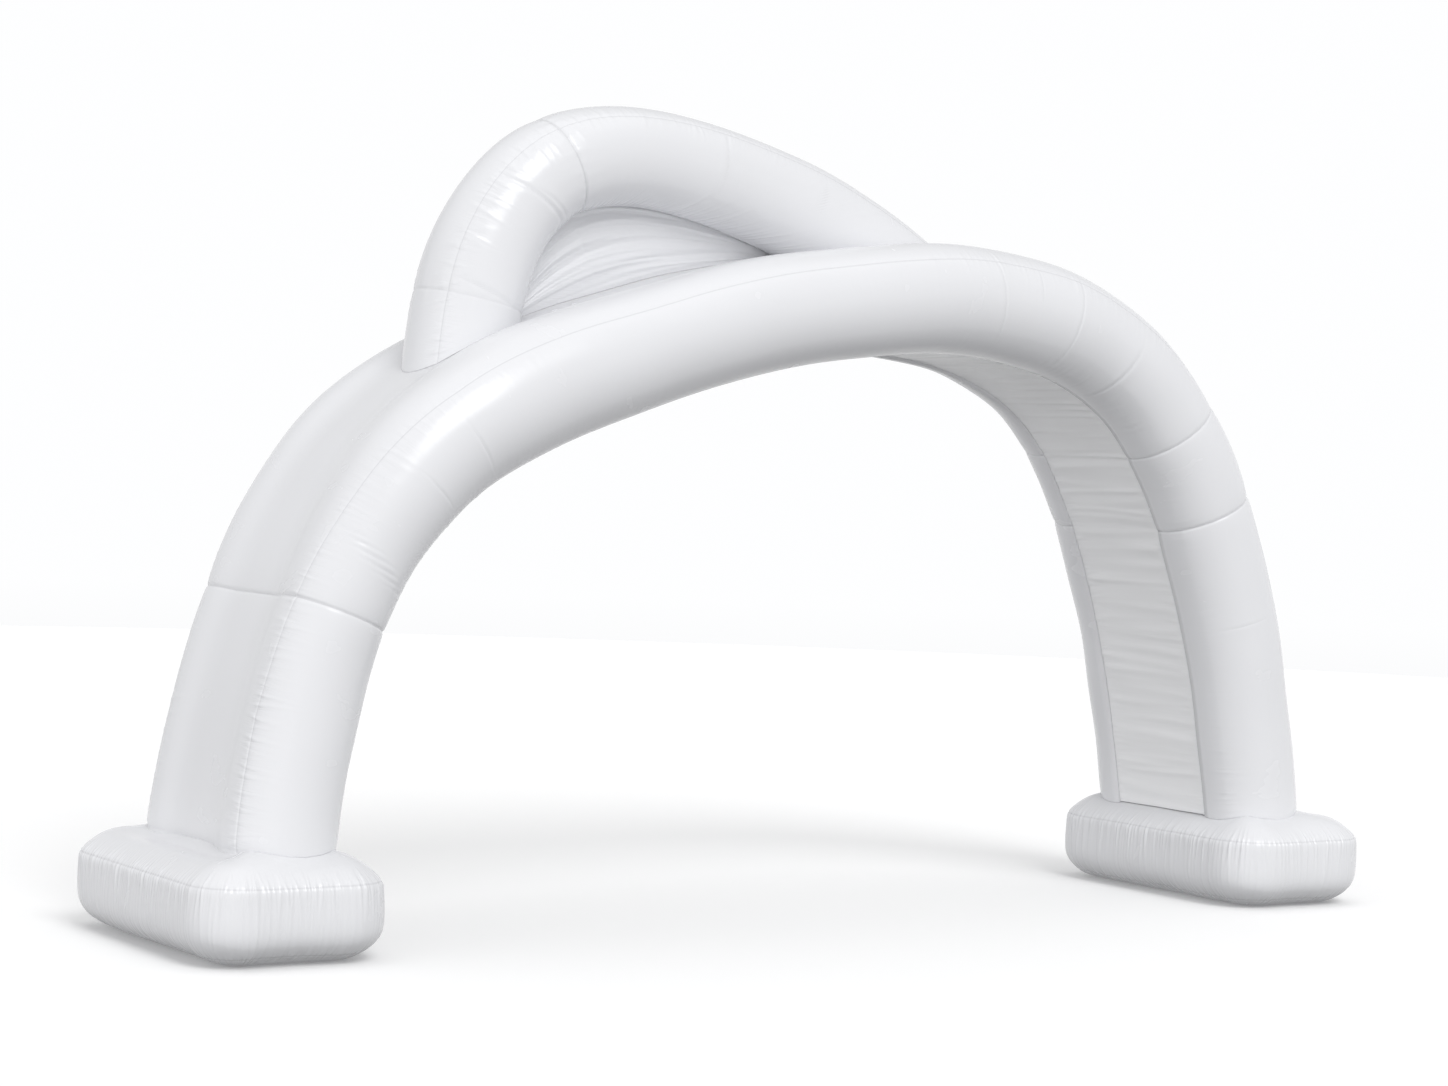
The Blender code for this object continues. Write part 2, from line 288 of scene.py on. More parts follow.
@dataclass(frozen=True)
class Puckers:
    """Small uneven creases that run out from a seam on both sides of it."""

    seed: int
    pitch: float
    width: float
    below: float
    above: float
    height: float
    lean: float = 0.25
    groove: float = 0.0015

    def lift(
        self,
        along: Array,
        distance: Array,
        strength: Optional[Callable[[float], float]] = None,
    ) -> Array:
        """Work out how far the puckers lift the cloth.

        Args:
            along: Each row's place along the seam, in metres, in rising order.
            distance: Each point's signed distance from the seam, by row and column.
            strength: How strong the puckers are at a place along the seam, from 0 to 1.

        Returns:
            The lift in metres, by row and column, below nothing in the seam's groove.
        """
        chance = np.random.default_rng(self.seed)
        lift = -self.groove * bell(distance, 0.005)
        place = float(along[0])
        while place < along[-1]:
            place += self.pitch * chance.uniform(0.35, 1.65)
            width = self.width * chance.uniform(0.6, 1.5)
            sides = np.array([self.below, self.above]) * chance.uniform(0.3, 1.7, 2)
            height = self.height * chance.uniform(0.25, 1.0)
            lean = self.lean * chance.uniform(-1.0, 1.0)
            if strength is not None:
                height *= strength(place)
            margin = 3.0 * width + self.lean * max(self.below, self.above)
            first, last = np.searchsorted(along, [place - margin, place + margin])
            if last <= first or height < 0.0001:
                continue
            part = distance[first:last]
            reach = np.where(part < 0.0, sides[0], sides[1])
            fade = np.exp(-(np.abs(part) / reach) ** 1.4) * (1.0 - 0.5 * bell(part, 0.006))
            run = along[first:last, None] - place - lean * part
            lift[first:last] += height * bell(run, width) * fade
        return lift


def read_table(table: Table, place: Array) -> Array:
    """Read a table of places and values at some places."""
    return np.interp(place, [row[0] for row in table], [row[1] for row in table])


def ripple(seed: int, first: Array, second: Array, size: float, waves: int = 9) -> Array:
    """Return a smooth unevenness of about unit height over two coordinates.

    Args:
        seed: What the waves are drawn from.
        first: The first coordinate, in metres.
        second: The second coordinate, in metres.
        size: The length of the waves, in metres.
        waves: How many waves are added.

    Returns:
        The sum of the waves, in the shape of the coordinates.
    """
    chance = np.random.default_rng(seed)
    total = np.zeros(np.broadcast(first, second).shape)
    for _ in range(waves):
        turn = chance.uniform(0.0, 2.0 * math.pi)
        pace = 2.0 * math.pi / (size * chance.uniform(0.6, 1.6))
        shift = chance.uniform(0.0, 2.0 * math.pi)
        total += np.sin(pace * (math.cos(turn) * first + math.sin(turn) * second) + shift)
    return total / math.sqrt(waves)


class Field:
    """A shader socket that takes part in Python expressions."""

    def __init__(self, tree: bpy.types.NodeTree, socket: bpy.types.NodeSocket) -> None:
        """Wrap a socket of a node tree."""
        self.tree = tree
        self.socket = socket

    def _with(self, operation: str, first: object, second: object) -> "Field":
        """Add a Math node for an operation on two values.

        Args:
            operation: The node's operation.
            first: A number or a field.
            second: A number or a field.

        Returns:
            The result as a field.
        """
        node = self.tree.nodes.new(NodeKind.MATH.value)
        node.operation = operation
        for slot, value in zip(node.inputs, (first, second)):
            if isinstance(value, Field):
                self.tree.links.new(value.socket, slot)
            else:
                slot.default_value = float(value)
        return Field(self.tree, node.outputs[0])

    def __add__(self, other: object) -> "Field":
        """Add a value or a field."""
        return self._with("ADD", self, other)

    __radd__ = __add__

    def __sub__(self, other: object) -> "Field":
        """Take a value or a field away."""
        return self._with("SUBTRACT", self, other)

    def __rsub__(self, other: object) -> "Field":
        """Take this field away from a value."""
        return self._with("SUBTRACT", other, self)

    def __mul__(self, other: object) -> "Field":
        """Multiply by a value or a field."""
        return self._with("MULTIPLY", self, other)

    __rmul__ = __mul__

    def size(self) -> "Field":
        """Return the absolute value."""
        return self._with("ABSOLUTE", self, 0.0)

    def at_least(self, floor: float) -> "Field":
        """Return no less than a value."""
        return self._with("MAXIMUM", self, floor)

    def at_most(self, ceiling: float) -> "Field":
        """Return no more than a value."""
        return self._with("MINIMUM", self, ceiling)


class NodeBench:
    """Adds nodes to a tree."""

    def __init__(self, tree: bpy.types.NodeTree) -> None:
        """Take the tree to work on."""
        self.tree = tree

    def node(self, kind: NodeKind, settings: dict, values: dict) -> bpy.types.Node:
        """Add a node.

        Args:
            kind: The node's type.
            settings: The node's own properties, set first.
            values: What goes into its sockets, by name or number: a value or a field.

        Returns:
            The node.
        """
        node = self.tree.nodes.new(kind.value)
        for name, value in settings.items():
            setattr(node, name, value)
        for name, value in values.items():
            if isinstance(value, Field):
                self.tree.links.new(value.socket, node.inputs[name])
            else:
                node.inputs[name].default_value = value
        return node

    def field(self, kind: NodeKind, output: object, settings: dict, values: dict) -> Field:
        """Add a node and return one of its outputs as a field."""
        return Field(self.tree, self.node(kind, settings, values).outputs[output])

    def noise(
        self,
        place: Field,
        stretch: tuple[float, float],
        scale: float,
        detail: float,
        distortion: float,
    ) -> Field:
        """Add a noise.

        Args:
            place: Where it is read.
            stretch: How closely it runs along both axes.
            scale: How closely it runs as a whole.
            detail: How many finer layers it has.
            distortion: How far it is bent.

        Returns:
            The noise, from 0 to 1.
        """
        scaled = self.field(
            NodeKind.MAPPING, "Vector", {}, {"Vector": place, "Scale": (*stretch, 1.0)}
        )
        values = {"Vector": scaled, "Scale": scale, "Detail": detail, "Distortion": distortion}
        return self.field(NodeKind.NOISE, "Fac", {}, values)

    def blend(self, part: Field, first: object, second: object) -> Field:
        """Mix two colours by a field, each a colour or a field.

        Args:
            part: The second colour's share.
            first: A colour or a field.
            second: A colour or a field.

        Returns:
            The mixed colour as a field.
        """
        node = self.node(NodeKind.MIX, {"data_type": "RGBA"}, {0: part})
        slots = [slot for slot in node.inputs if slot.type == "RGBA"]
        for slot, value in zip(slots, (first, second)):
            if isinstance(value, Field):
                self.tree.links.new(value.socket, slot)
            else:
                slot.default_value = (*value, 1.0)
        return Field(self.tree, [slot for slot in node.outputs if slot.type == "RGBA"][0])


@dataclass(frozen=True)
class CoatedCloth:
    """White coated cloth with a satin gloss, fine creases at its seams and handling marks, and a
    darker stitch colour on its seam lines that is also laid along folds as painted shade.
    """

    name: str
    shade: tuple[float, float, float] = (0.772, 0.776, 0.797)
    aged: tuple[float, float, float] = (0.752, 0.755, 0.774)
    # Stitch colour: the real seam lines, and painted shade in the creases of folds.
    stitch_and_crease_shade: tuple[float, float, float] = (0.620, 0.622, 0.642)
    roughness: float = 0.25
    crease_height: float = 0.0022
    handling_height: float = 0.0005
    grain_height: float = 0.00002
    crease_scale: tuple[float, float] = (42.0, 5.0)
    handling_scale: tuple[float, float] = (7.0, 4.0)

    def material(self) -> bpy.types.Material:
        """Build the cloth's material.

        Returns:
            The material.
        """
        made = bpy.data.materials.new(self.name)
        made.use_nodes = True
        bench = NodeBench(made.node_tree)
        place = bench.field(NodeKind.COORDINATES, "Object", {}, {})
        flat = bench.field(NodeKind.COORDINATES, "UV", {}, {})
        seam = bench.field(NodeKind.ATTRIBUTE, "Fac", {"attribute_name": SEAM_AND_CREASE_SHADE_MARK}, {})
        gather = bench.field(NodeKind.ATTRIBUTE, "Fac", {"attribute_name": GATHER_MARK}, {})
        drift = bench.noise(place, (1.0, 1.0), 1.6, 2.0, 0.0)
        creases = bench.noise(flat, self.crease_scale, 1.0, 2.5, 0.35)
        handling = bench.noise(flat, self.handling_scale, 1.0, 3.0, 0.2)
        grain = bench.noise(flat, (1.0, 1.0), 420.0, 1.0, 0.0)
        ridges = 1.0 - (2.0 * creases - 1.0).size()
        base = bench.blend(drift, self.shade, self.aged)
        # The seam mark blends in the stitch colour: real seam lines, and painted shade along
        # fold creases.
        colour = bench.blend(seam.at_most(1.0), base, self.stitch_and_crease_shade)
        rough = self.roughness + 0.12 * (handling - 0.5) + 0.08 * (drift - 0.5)
        height = self.crease_height * (gather * ridges) + self.handling_height * handling
        height = height + self.grain_height * grain
        bump = bench.field(
            NodeKind.BUMP, "Normal", {}, {"Height": height, "Strength": 1.0, "Distance": 1.0}
        )
        surface = made.node_tree.nodes["Principled BSDF"]
        for name, source in (("Base Color", colour), ("Roughness", rough), ("Normal", bump)):
            made.node_tree.links.new(source.socket, surface.inputs[name])
        return made


@dataclass
class ClothNet:
    """A net of points on cloth: rows run across it and columns along it."""

    points: Array
    flat: Array
    # Seam mark: real seam lines, and painted shade along the creases of folds.
    seam: Array
    gather: Array

    def piece(self, name: str, cloth: CoatedCloth, closed: bool) -> bpy.types.Object:
        """Make the net a mesh object.

        Args:
            name: The object's name.
            cloth: Its finish.
            closed: Whether its edges meet, and its ends are filled.

        Returns:
            The object, linked to the scene.
        """
        rows, columns = self.seam.shape
        shape = bmesh.new()
        bmesh.ops.create_grid(shape, x_segments=columns - 1, y_segments=rows - 1, size=1.0)
        mesh = bpy.data.meshes.new(name)
        shape.to_mesh(mesh)
        shape.free()
        grid = np.empty(len(mesh.vertices) * 3)
        mesh.vertices.foreach_get("co", grid)
        grid = grid.reshape(-1, 3)
        column = np.rint((grid[:, 0] + 1.0) * 0.5 * (columns - 1)).astype(int)
        row = np.rint((grid[:, 1] + 1.0) * 0.5 * (rows - 1)).astype(int)
        mesh.vertices.foreach_set("co", self.points[row, column].ravel())
        for mark, values in ((SEAM_AND_CREASE_SHADE_MARK, self.seam), (GATHER_MARK, self.gather)):
            layer = mesh.attributes.new(mark, "FLOAT", "POINT")
            layer.data.foreach_set("value", values[row, column].ravel())
        corners = np.empty(len(mesh.loops), dtype=np.int32)
        mesh.loops.foreach_get("vertex_index", corners)
        layer = mesh.uv_layers.new(name="cloth")
        layer.data.foreach_set("uv", self.flat[row[corners], column[corners]].ravel())
        if closed:
            shape = bmesh.new()
            shape.from_mesh(mesh)
            bmesh.ops.remove_doubles(shape, verts=shape.verts, dist=0.00002)
            rim = [edge for edge in shape.edges if edge.is_boundary]
            bmesh.ops.holes_fill(shape, edges=rim, sides=0)
            bmesh.ops.recalc_face_normals(shape, faces=shape.faces)
            shape.to_mesh(mesh)
            shape.free()
        mesh.shade_smooth()
        mesh.materials.append(cloth.material())
        made = bpy.data.objects.new(name, mesh)
        bpy.context.scene.collection.objects.link(made)
        return made


def tree_of(piece: bpy.types.Object) -> BVHTree:
    """Return a search tree of a piece's faces.

    Args:
        piece: The mesh object.

    Returns:
        The tree, in the scene's own frame.
    """
    shape = bmesh.new()
    shape.from_mesh(piece.data)
    tree = BVHTree.FromBMesh(shape)
    shape.free()
    return tree


def first_touch(route: Array, tree: BVHTree) -> Optional[float]:
    """Follow a route of points until it meets a piece.

    Args:
        route: The points, in order.
        tree: The piece's search tree.

    Returns:
        How many steps along the route the touch is, with its fraction, or None.
    """
    for index in range(len(route) - 1):
        start = Vector(route[index])
        step = Vector(route[index + 1]) - start
        hit = tree.ray_cast(start, step.normalized(), step.length)
        if hit[0] is not None:
            return index + hit[3] / step.length
    return None


def stand_on(
    along: Array,
    length: float,
    feet: Sequence[bpy.types.Object],
    ease: float,
    gap: float,
    points_at: Callable[[Array], Array],
) -> None:
    """Spread the rows of a net so that every column starts and ends just above a foot.

    Args:
        along: The length along the arch, by row and column, changed in place.
        length: The whole length of the arch's line.
        feet: The left and the right foot.
        ease: How far from each end the rows are moved.
        gap: How far along the line the net stays off a foot.
        points_at: Returns the net's points at some lengths, by row and column.
    """
    columns = along.shape[1]
    for foot, end, way in ((feet[0], 0.0, 1.0), (feet[1], length, -1.0)):
        tree = tree_of(foot)
        lengths = end + way * ease * np.linspace(1.0, 0.0, FOOT_TRIES)
        points = points_at(np.repeat(lengths[:, None], columns, axis=1))
        for column in range(columns):
            step = first_touch(points[:, column], tree)
            step = FOOT_TRIES - 1 if step is None else step
            reach = ease * (1.0 - step / (FOOT_TRIES - 1)) + gap
            run = way * (along[:, column] - end)
            near = run < ease
            eased = reach + (ease - reach) * run[near] / ease
            along[near, column] = end + way * eased


def dress(piece: bpy.types.Object, node: str) -> bpy.types.Object:
    """Let a piece stand for a solid of the frame: attach it to the root and hide the solid.

    Args:
        piece: The dressed object.
        node: The solid's name.

    Returns:
        The piece.
    """
    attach(piece, "root")
    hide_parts(node)
    LOG.info("%s: %d faces", piece.name, len(piece.data.polygons))
    return piece


@dataclass
class Foot:
    """An air cushion: a crowned top, a puckered band and a flat sole."""

    side: Side
    cloth: CoatedCloth
    centre_x: float = 3.000
    half_width: float = 0.480
    half_depth: float = 0.843
    corner: float = 0.265
    corner_shrink: float = 1.0
    corner_least: float = 0.050
    corner_most: float = 0.95
    levels: tuple[Level, ...] = (
        Level(0.220, 0.000),
        Level(0.155, 0.012),
        Level(0.088, 0.046),
        Level(0.042, 0.081),
        Level(0.011, 0.126),
        Level(0.000, 0.185),
        Level(0.001, 0.250),
        Level(0.007, 0.315),
        Level(0.018, 0.363),
        Level(0.050, 0.401),
        Level(0.095, 0.438),
        Level(0.155, 0.470),
        Level(0.235, 0.493),
        Level(0.330, 0.503),
    )
    lower_seam: int = 2
    upper_seam: int = 8
    leg_side: float = 0.250
    leg_dip: float = 0.028
    ring_count: int = 60
    corner_steps: int = 96
    side_steps: int = 270
    end_steps: int = 94

    def outline(self, inset: Array) -> tuple[Array, Array, Array]:
        """Work out the rounded oblongs at some insets.

        Args:
            inset: How far each ring lies inside the widest outline.

        Returns:
            The rings' points and their outward directions, by step and ring and axis, and
            each step's place round the widest outline.
        """
        half = np.stack([self.half_width - inset, self.half_depth - inset], axis=-1)
        corner = np.maximum(self.corner - self.corner_shrink * inset, self.corner_least)
        corner = np.minimum(corner, self.corner_most * half[:, 0])
        points = []
        normals = []
        for quarter in range(4):
            sign = np.array([(1, 1), (-1, 1), (-1, -1), (1, -1)][quarter])
            turns = 0.5 * math.pi * (quarter + np.arange(self.corner_steps) / self.corner_steps)
            middle = sign * (half - corner[:, None])
            for turn in turns:
                normal = np.array([math.cos(turn), math.sin(turn)])
                points.append(middle + corner[:, None] * normal)
                normals.append(np.broadcast_to(normal, middle.shape))
            turn = 0.5 * math.pi * (quarter + 1)
            normal = np.array([math.cos(turn), math.sin(turn)])
            begin = middle + corner[:, None] * normal
            flip = np.array([(-1, 1), (1, -1)][quarter % 2])
            end = sign * flip * (half - corner[:, None]) + corner[:, None] * normal
            steps = self.end_steps if quarter % 2 == 0 else self.side_steps
            for index in range(steps):
                points.append(begin + (end - begin) * index / steps)
                normals.append(np.broadcast_to(normal, begin.shape))
        points.append(points[0])
        normals.append(normals[0])
        widest = int(np.argmin(inset))
        ring = np.array([point[widest] for point in points])
        steps = np.hypot(*np.diff(ring, axis=0).T)
        return np.array(points), np.array(normals), np.concatenate([[0.0], np.cumsum(steps)])

    def profile(self) -> tuple[Array, Array, Array, Array, float, float]:
        """Work out the side's profile.

        Returns:
            Each ring's inset and height, the outward and upward parts of its normal, and
            each ring's place along the profile, with the places of both seams.
        """
        inset = np.array([level.inset for level in self.levels])
        height = np.array([level.z for level in self.levels])
        steps = np.hypot(np.diff(inset), np.diff(height))
        knots = np.concatenate([[0.0], np.cumsum(steps)])
        places = np.linspace(0.0, knots[-1], self.ring_count)
        lower, upper = float(knots[self.lower_seam]), float(knots[self.upper_seam])
        marks = [seam + step for seam in (lower, upper) for step in (-0.007, 0.0, 0.007)]
        places = marked(places, marks, 0.003)
        rings = spline(knots, inset, places), np.maximum(spline(knots, height, places), 0.0)
        out, rise = -np.gradient(rings[0], places), np.gradient(rings[1], places)
        size = np.hypot(out, rise)
        return rings[0], rings[1], rise / size, -out / size, places, (lower, upper)

    def band_strength(self, place: float) -> float:
        """Return how strongly the band is gathered at a place round the foot."""
        middles = (1.84, 4.26)
        return 0.55 + 0.45 * max(math.exp(-((place - middle) / 0.7) ** 4) for middle in middles)

    def build(self) -> bpy.types.Object:
        """Build the foot's skin.

        Returns:
            The padded piece.
        """
        inset, height, outward, upward, places, (lower, upper) = self.profile()
        outline, normals, around = self.outline(inset)
        seed = 40 + self.side.value
        from_upper = np.broadcast_to(places - upper, outline.shape[:2])
        from_lower = np.broadcast_to(places - lower, outline.shape[:2])
        lift = Puckers(
            seed, pitch=0.024, width=0.0068, below=0.085, above=0.035,
            height=0.0072, lean=0.12,
        ).lift(around, from_upper)
        lift += Puckers(
            seed + 9, pitch=0.030, width=0.0075, below=0.020, above=0.055,
            height=0.0050, lean=0.12,
        ).lift(around, from_lower)
        band = Puckers(
            seed + 4, pitch=0.020, width=0.0060, below=0.260, above=0.012,
            height=0.0044, lean=0.05, groove=0.0,
        )
        lift += band.lift(around, from_upper, self.band_strength)
        lift += 0.0030 * ripple(seed + 2, around[:, None], places[None, :], 0.55)
        lift *= np.clip(height / 0.030, 0.0, 1.0)
        points = np.empty((*outline.shape[:2], 3))
        points[..., 0] = self.side.value * self.centre_x + outline[..., 0]
        points[..., 1] = outline[..., 1]
        points[..., 2] = height
        points[..., 0] += lift * outward * normals[..., 0]
        points[..., 1] += lift * outward * normals[..., 1]
        points[..., 2] += lift * upward
        beside = bell(self.side.value * outline[..., 0] - self.leg_side, 0.075)
        beside = beside * np.exp(-(outline[..., 1] / 0.60) ** 6)
        points[..., 2] -= self.leg_dip * beside * np.clip((height - 0.40) / 0.07, 0.0, 1.0)
        points[..., 2] = np.maximum(points[..., 2], 0.0)
        points[-1] = points[0]
        flat = np.stack(np.broadcast_arrays(around[:, None], places[None, :]), axis=-1)
        seam = 0.7 * np.maximum(bell(from_upper, 0.002), bell(from_lower, 0.002))
        name = f"foot_{self.side.name.lower()}"
        gather = bell(from_upper, 0.09) + bell(from_lower, 0.05)
        net = ClothNet(points, flat, np.array(seam), np.array(gather))
        piece = net.piece(f"{name}_cushion", self.cloth, closed=True)
        dress(piece, name)
        return piece


@dataclass
class ArchBody:
    """The arch's body: front and back tubes, joined by a shallow valley on the outside."""

    cloth: CoatedCloth
    tube_offset: float = 0.412
    web_half_width: float = 0.362
    channel_depth: float = 0.046
    valley_depth: float = 0.030
    valley_start: float = 0.395
    valley_slope: float = 0.200
    valley_deep: tuple[float, float, float] = (2.75, 0.35, 0.012)
    ring_count: int = 1350
    side_parts: tuple[float, ...] = (0.0, 0.25, 0.50, 0.66, 0.75, 0.84, 0.93)
    tube_columns: tuple[int, int, int] = (9, 9, 5)
    seam_parts: tuple[float, float, float] = (0.978, 0.009, 0.030)
    busy: Table = ((0.0, 2.45), (5.2, 6.5), (6.8, 7.5), (8.7, 9.3))
    base_ease: float = 0.30
    lift_off: float = 0.0010
    inner_seam: float = -62.0
    knots: tuple[Knot, ...] = (
        Knot(-2.972, 0.360, 0.262),
        Knot(-2.953, 0.500, 0.261),
        Knot(-2.847, 1.105, 0.252),
        Knot(-2.662, 1.685, 0.253),
        Knot(-2.336, 2.197, 0.283),
        Knot(-1.852, 2.557, 0.305),
        Knot(-1.224, 2.802, 0.293),
        Knot(-0.620, 2.988, 0.286),
        Knot(0.000, 3.109, 0.279),
        Knot(0.667, 3.176, 0.280),
        Knot(1.382, 3.099, 0.283),
        Knot(2.032, 2.756, 0.272),
        Knot(2.405, 2.248, 0.278),
        Knot(2.644, 1.677, 0.280),
        Knot(2.798, 1.095, 0.275),
        Knot(2.909, 0.500, 0.272),
        Knot(2.933, 0.360, 0.272),
    )
    seams: tuple[CrossSeam, ...] = (
        CrossSeam(1.220, 0.009, 0.004),
        CrossSeam(6.900, 0.007, 0.003),
        CrossSeam(7.400, 0.009, 0.004),
    )
    seam_turn: Table = (
        (0.0, 70.0),
        (0.7, 80.0),
        (1.2, 73.0),
        (1.7, 58.0),
        (2.3, 46.0),
        (3.5, 42.0),
        (6.5, 46.0),
        (7.4, 60.0),
        (8.2, 76.0),
        (9.3, 72.0),
    )
    outer_puckers: Table = (
        (0.0, 0.9), (0.2, 0.8), (0.5, 1.0), (1.2, 1.0), (1.6, 0.6), (2.2, 0.35), (3.2, 0.15),
        (4.8, 0.15), (5.3, 0.6), (6.4, 0.5), (7.6, 0.25), (8.6, 0.5), (9.3, 0.9),
    )
    inner_puckers: Table = (
        (0.0, 0.5), (1.0, 0.3), (1.8, 0.8), (3.0, 0.3), (5.2, 0.3),
        (5.8, 0.8), (6.9, 0.7), (7.6, 0.3), (8.4, 0.3), (9.3, 1.0),
    )
    creases: tuple[Crease, ...] = (
        Crease(1.480, 0.0, 52.0, 0.006, 0.010, 0.10),
        Crease(1.930, -12.0, 14.0, 0.004, 0.008, 0.0),
        Crease(2.230, -8.0, 16.0, 0.004, 0.008, 0.0),
        Crease(5.390, 4.0, 62.0, 0.004, 0.008, -0.02),
        Crease(5.630, 28.0, 26.0, 0.003, 0.007, 0.0),
        Crease(5.890, 2.0, 52.0, 0.004, 0.008, 0.0),
        Crease(6.310, -34.0, 46.0, 0.005, 0.010, 0.03),
        Crease(8.020, -20.0, 22.0, 0.002, 0.008, 0.0),
    )
    line: CentreLine = field(init=False)

    def __post_init__(self) -> None:
        """Prepare the centre line."""
        self.line = CentreLine(self.knots, self.seams)

    def outer_seam(self, along: Array) -> Array:
        """Return the outer corner seam's angle from the front, in degrees."""
        return read_table(self.seam_turn, along)

    def half_columns(self) -> list[tuple[str, float]]:
        """List the columns of the section's front half as a stretch and a fraction.

        Returns:
            Each column's stretch and how far along it the column lies, from 0 to 1.
        """
        columns = [("side", part) for part in self.side_parts]
        first, second, third = self.tube_columns
        before, after, beyond = self.seam_parts
        for index in range(first):
            columns.append(("crown", 1.0 - (1.0 - index / first) ** 1.4))
        columns += [("crown", before), ("face", 0.0), ("face", after), ("face", beyond)]
        for index in range(1, second):
            middle = 2.0 * index / second - 1.0
            eased = math.copysign(1.0 - (1.0 - abs(middle)) ** 1.3, middle)
            columns.append(("face", 0.5 + 0.5 * eased))
        for index in range(third + 1):
            columns.append(("inside", (index / third) ** 1.3))
        columns.append(("wall", 1.0))
        return columns

    def section(self, along: Array) -> dict[str, Array]:
        """Work out the closed section's columns at each place.

        Args:
            along: Lengths along the arch, by row and column; the columns are the section's.

        Returns:
            Arrays by row and column: the centre and normal, the angle from the front in
            degrees, the distance round the section from the side's middle, the height and
            depth, the tube's radius, and which tube a column belongs to.
        """
        half = self.half_columns()
        names = [name for name, _ in half]
        parts = [part for _, part in half]
        stretch = np.array(names + names[::-1] + names[:1])
        part = np.array(parts + parts[::-1] + parts[:1])
        front = np.array([-1.0] * len(half) + [1.0] * len(half) + [-1.0])
        x, z, normal_x, normal_z, radius = self.line.read(along)
        outer = self.outer_seam(along)
        wall = self.tube_offset - self.web_half_width
        last = -90.0 - np.degrees(np.arcsin(wall / radius))
        angle = np.full(along.shape, 90.0)
        crown = stretch == "crown"
        face = stretch == "face"
        inside = stretch == "inside"
        angle[:, crown] = 90.0 + (outer - 90.0)[:, crown] * part[crown]
        angle[:, face] = (outer + (self.inner_seam - outer) * part)[:, face]
        angle[:, inside] = (self.inner_seam + (last - self.inner_seam) * part)[:, inside]
        walls = stretch == "wall"
        angle[:, walls] = last[:, walls]
        turn = np.radians(angle)
        height = radius * np.sin(turn)
        depth = self.tube_offset + radius * np.cos(turn)
        side = stretch == "side"
        depth[:, side] = self.tube_offset * part[side]
        slope = np.clip((self.valley_start - depth[:, side]) / self.valley_slope, 0.0, 1.0)
        middle, width, more = self.valley_deep
        valley = self.valley_depth + more * bell(along[:, side] - middle, width)
        height[:, side] -= valley * slope ** 2 * (3.0 - 2.0 * slope)
        floor = self.channel_depth - radius
        height[:, walls] += (floor - height)[:, walls] * part[walls]
        depth[:, walls] = self.web_half_width
        round_it = self.tube_offset + radius * (0.5 * math.pi - turn)
        round_it[:, side] = depth[:, side]
        return {
            "x": x, "z": z, "normal_x": normal_x, "normal_z": normal_z, "angle": angle,
            "round": round_it, "height": height, "depth": depth * front, "radius": radius,
            "front": np.broadcast_to(front, along.shape), "hidden": walls,
        }

    def place(self, section: dict[str, Array], lift: Array) -> Array:
        """Return the points of a section, lifted off it along its own normals.

        Args:
            section: The section's arrays.
            lift: How far each point is lifted, in metres.

        Returns:
            The points, by row, column and axis.
        """
        turn = np.radians(section["angle"])
        height = section["height"] + lift * np.sin(turn)
        depth = section["depth"] + lift * np.cos(turn) * section["front"]
        return np.stack([
            section["x"] + height * section["normal_x"],
            depth,
            section["z"] + height * section["normal_z"],
        ], axis=-1)

    def grounded(self, feet: Sequence[bpy.types.Object]) -> Array:
        """Spread the rings so that every column starts and ends just above a foot.

        Args:
            feet: The left and the right foot.

        Returns:
            The length along the arch, by row and column.
        """
        marks = [line.along + step for line in self.seams + self.creases for step in MARK_STEPS]
        base = marked(paced(self.line.length, self.ring_count, self.busy, 0.5), marks, 0.002)
        columns = 2 * len(self.half_columns()) + 1
        along = np.repeat(base[:, None], columns, axis=1)
        stand_on(
            along, self.line.length, feet, self.base_ease, self.lift_off,
            lambda grid: self.place(self.section(grid), np.zeros(grid.shape)),
        )
        return along

    def lift(self, along: Array, section: dict[str, Array]) -> tuple[Array, Array, Array]:
        """Work out the seams, puckers and creases, and the painted shade along the creases.

        Args:
            along: The length along the arch, by row and column.
            section: The section's arrays.

        Returns:
            The lift in metres, the seam mark, which also holds painted shade along the creases,
            and the gather mark, by row and column.
        """
        rows = along[:, 0].copy()
        radius = section["radius"]
        turn = np.radians(section["angle"])
        outer = np.radians(self.outer_seam(along))
        distance = section["round"] - (self.tube_offset + radius * (0.5 * math.pi - outer))
        inner = radius * (math.radians(self.inner_seam) - turn)
        shown = ~np.broadcast_to(section["hidden"], along.shape)
        lift = 0.0030 * ripple(3, along, section["round"] * section["front"], 0.75)
        for tube, seed, share in ((-1.0, 21, 1.0), (1.0, 61, 0.5)):
            mask = share * (section["front"] == tube)
            strong = Puckers(
                seed, pitch=0.034, width=0.0080, below=0.038, above=0.052,
                height=0.0054, lean=0.18, groove=0.0022,
            )
            fine = Puckers(
                seed + 1, pitch=0.034, width=0.0100, below=0.045, above=0.045,
                height=0.0030, lean=0.15, groove=0.0,
            )
            lift += mask * strong.lift(rows, distance, self.outer_strength)
            lift += mask * fine.lift(rows, inner, self.inner_strength)
            for crease in self.creases:
                lift -= mask * crease.sink(along, turn)
        for index, seam in enumerate(self.seams):
            rays = Puckers(
                80 + index, pitch=0.050, width=0.011, below=0.040, above=0.060,
                height=0.0045, lean=0.2, groove=0.0,
            )
            order = np.argsort(section["round"][0] * section["front"][0])
            round_row = (section["round"] * section["front"])[0][order]
            turned = rays.lift(round_row, (along - seam.along)[:, order].T).T
            back = np.empty_like(turned)
            back[:, order] = turned
            lift += back
        for end, way in ((0.0, 1.0), (self.line.length, -1.0)):
            run = way * (along - end) - 0.1
            lift -= 0.010 * np.exp(-np.clip(run, 0.0, None) / 0.03)
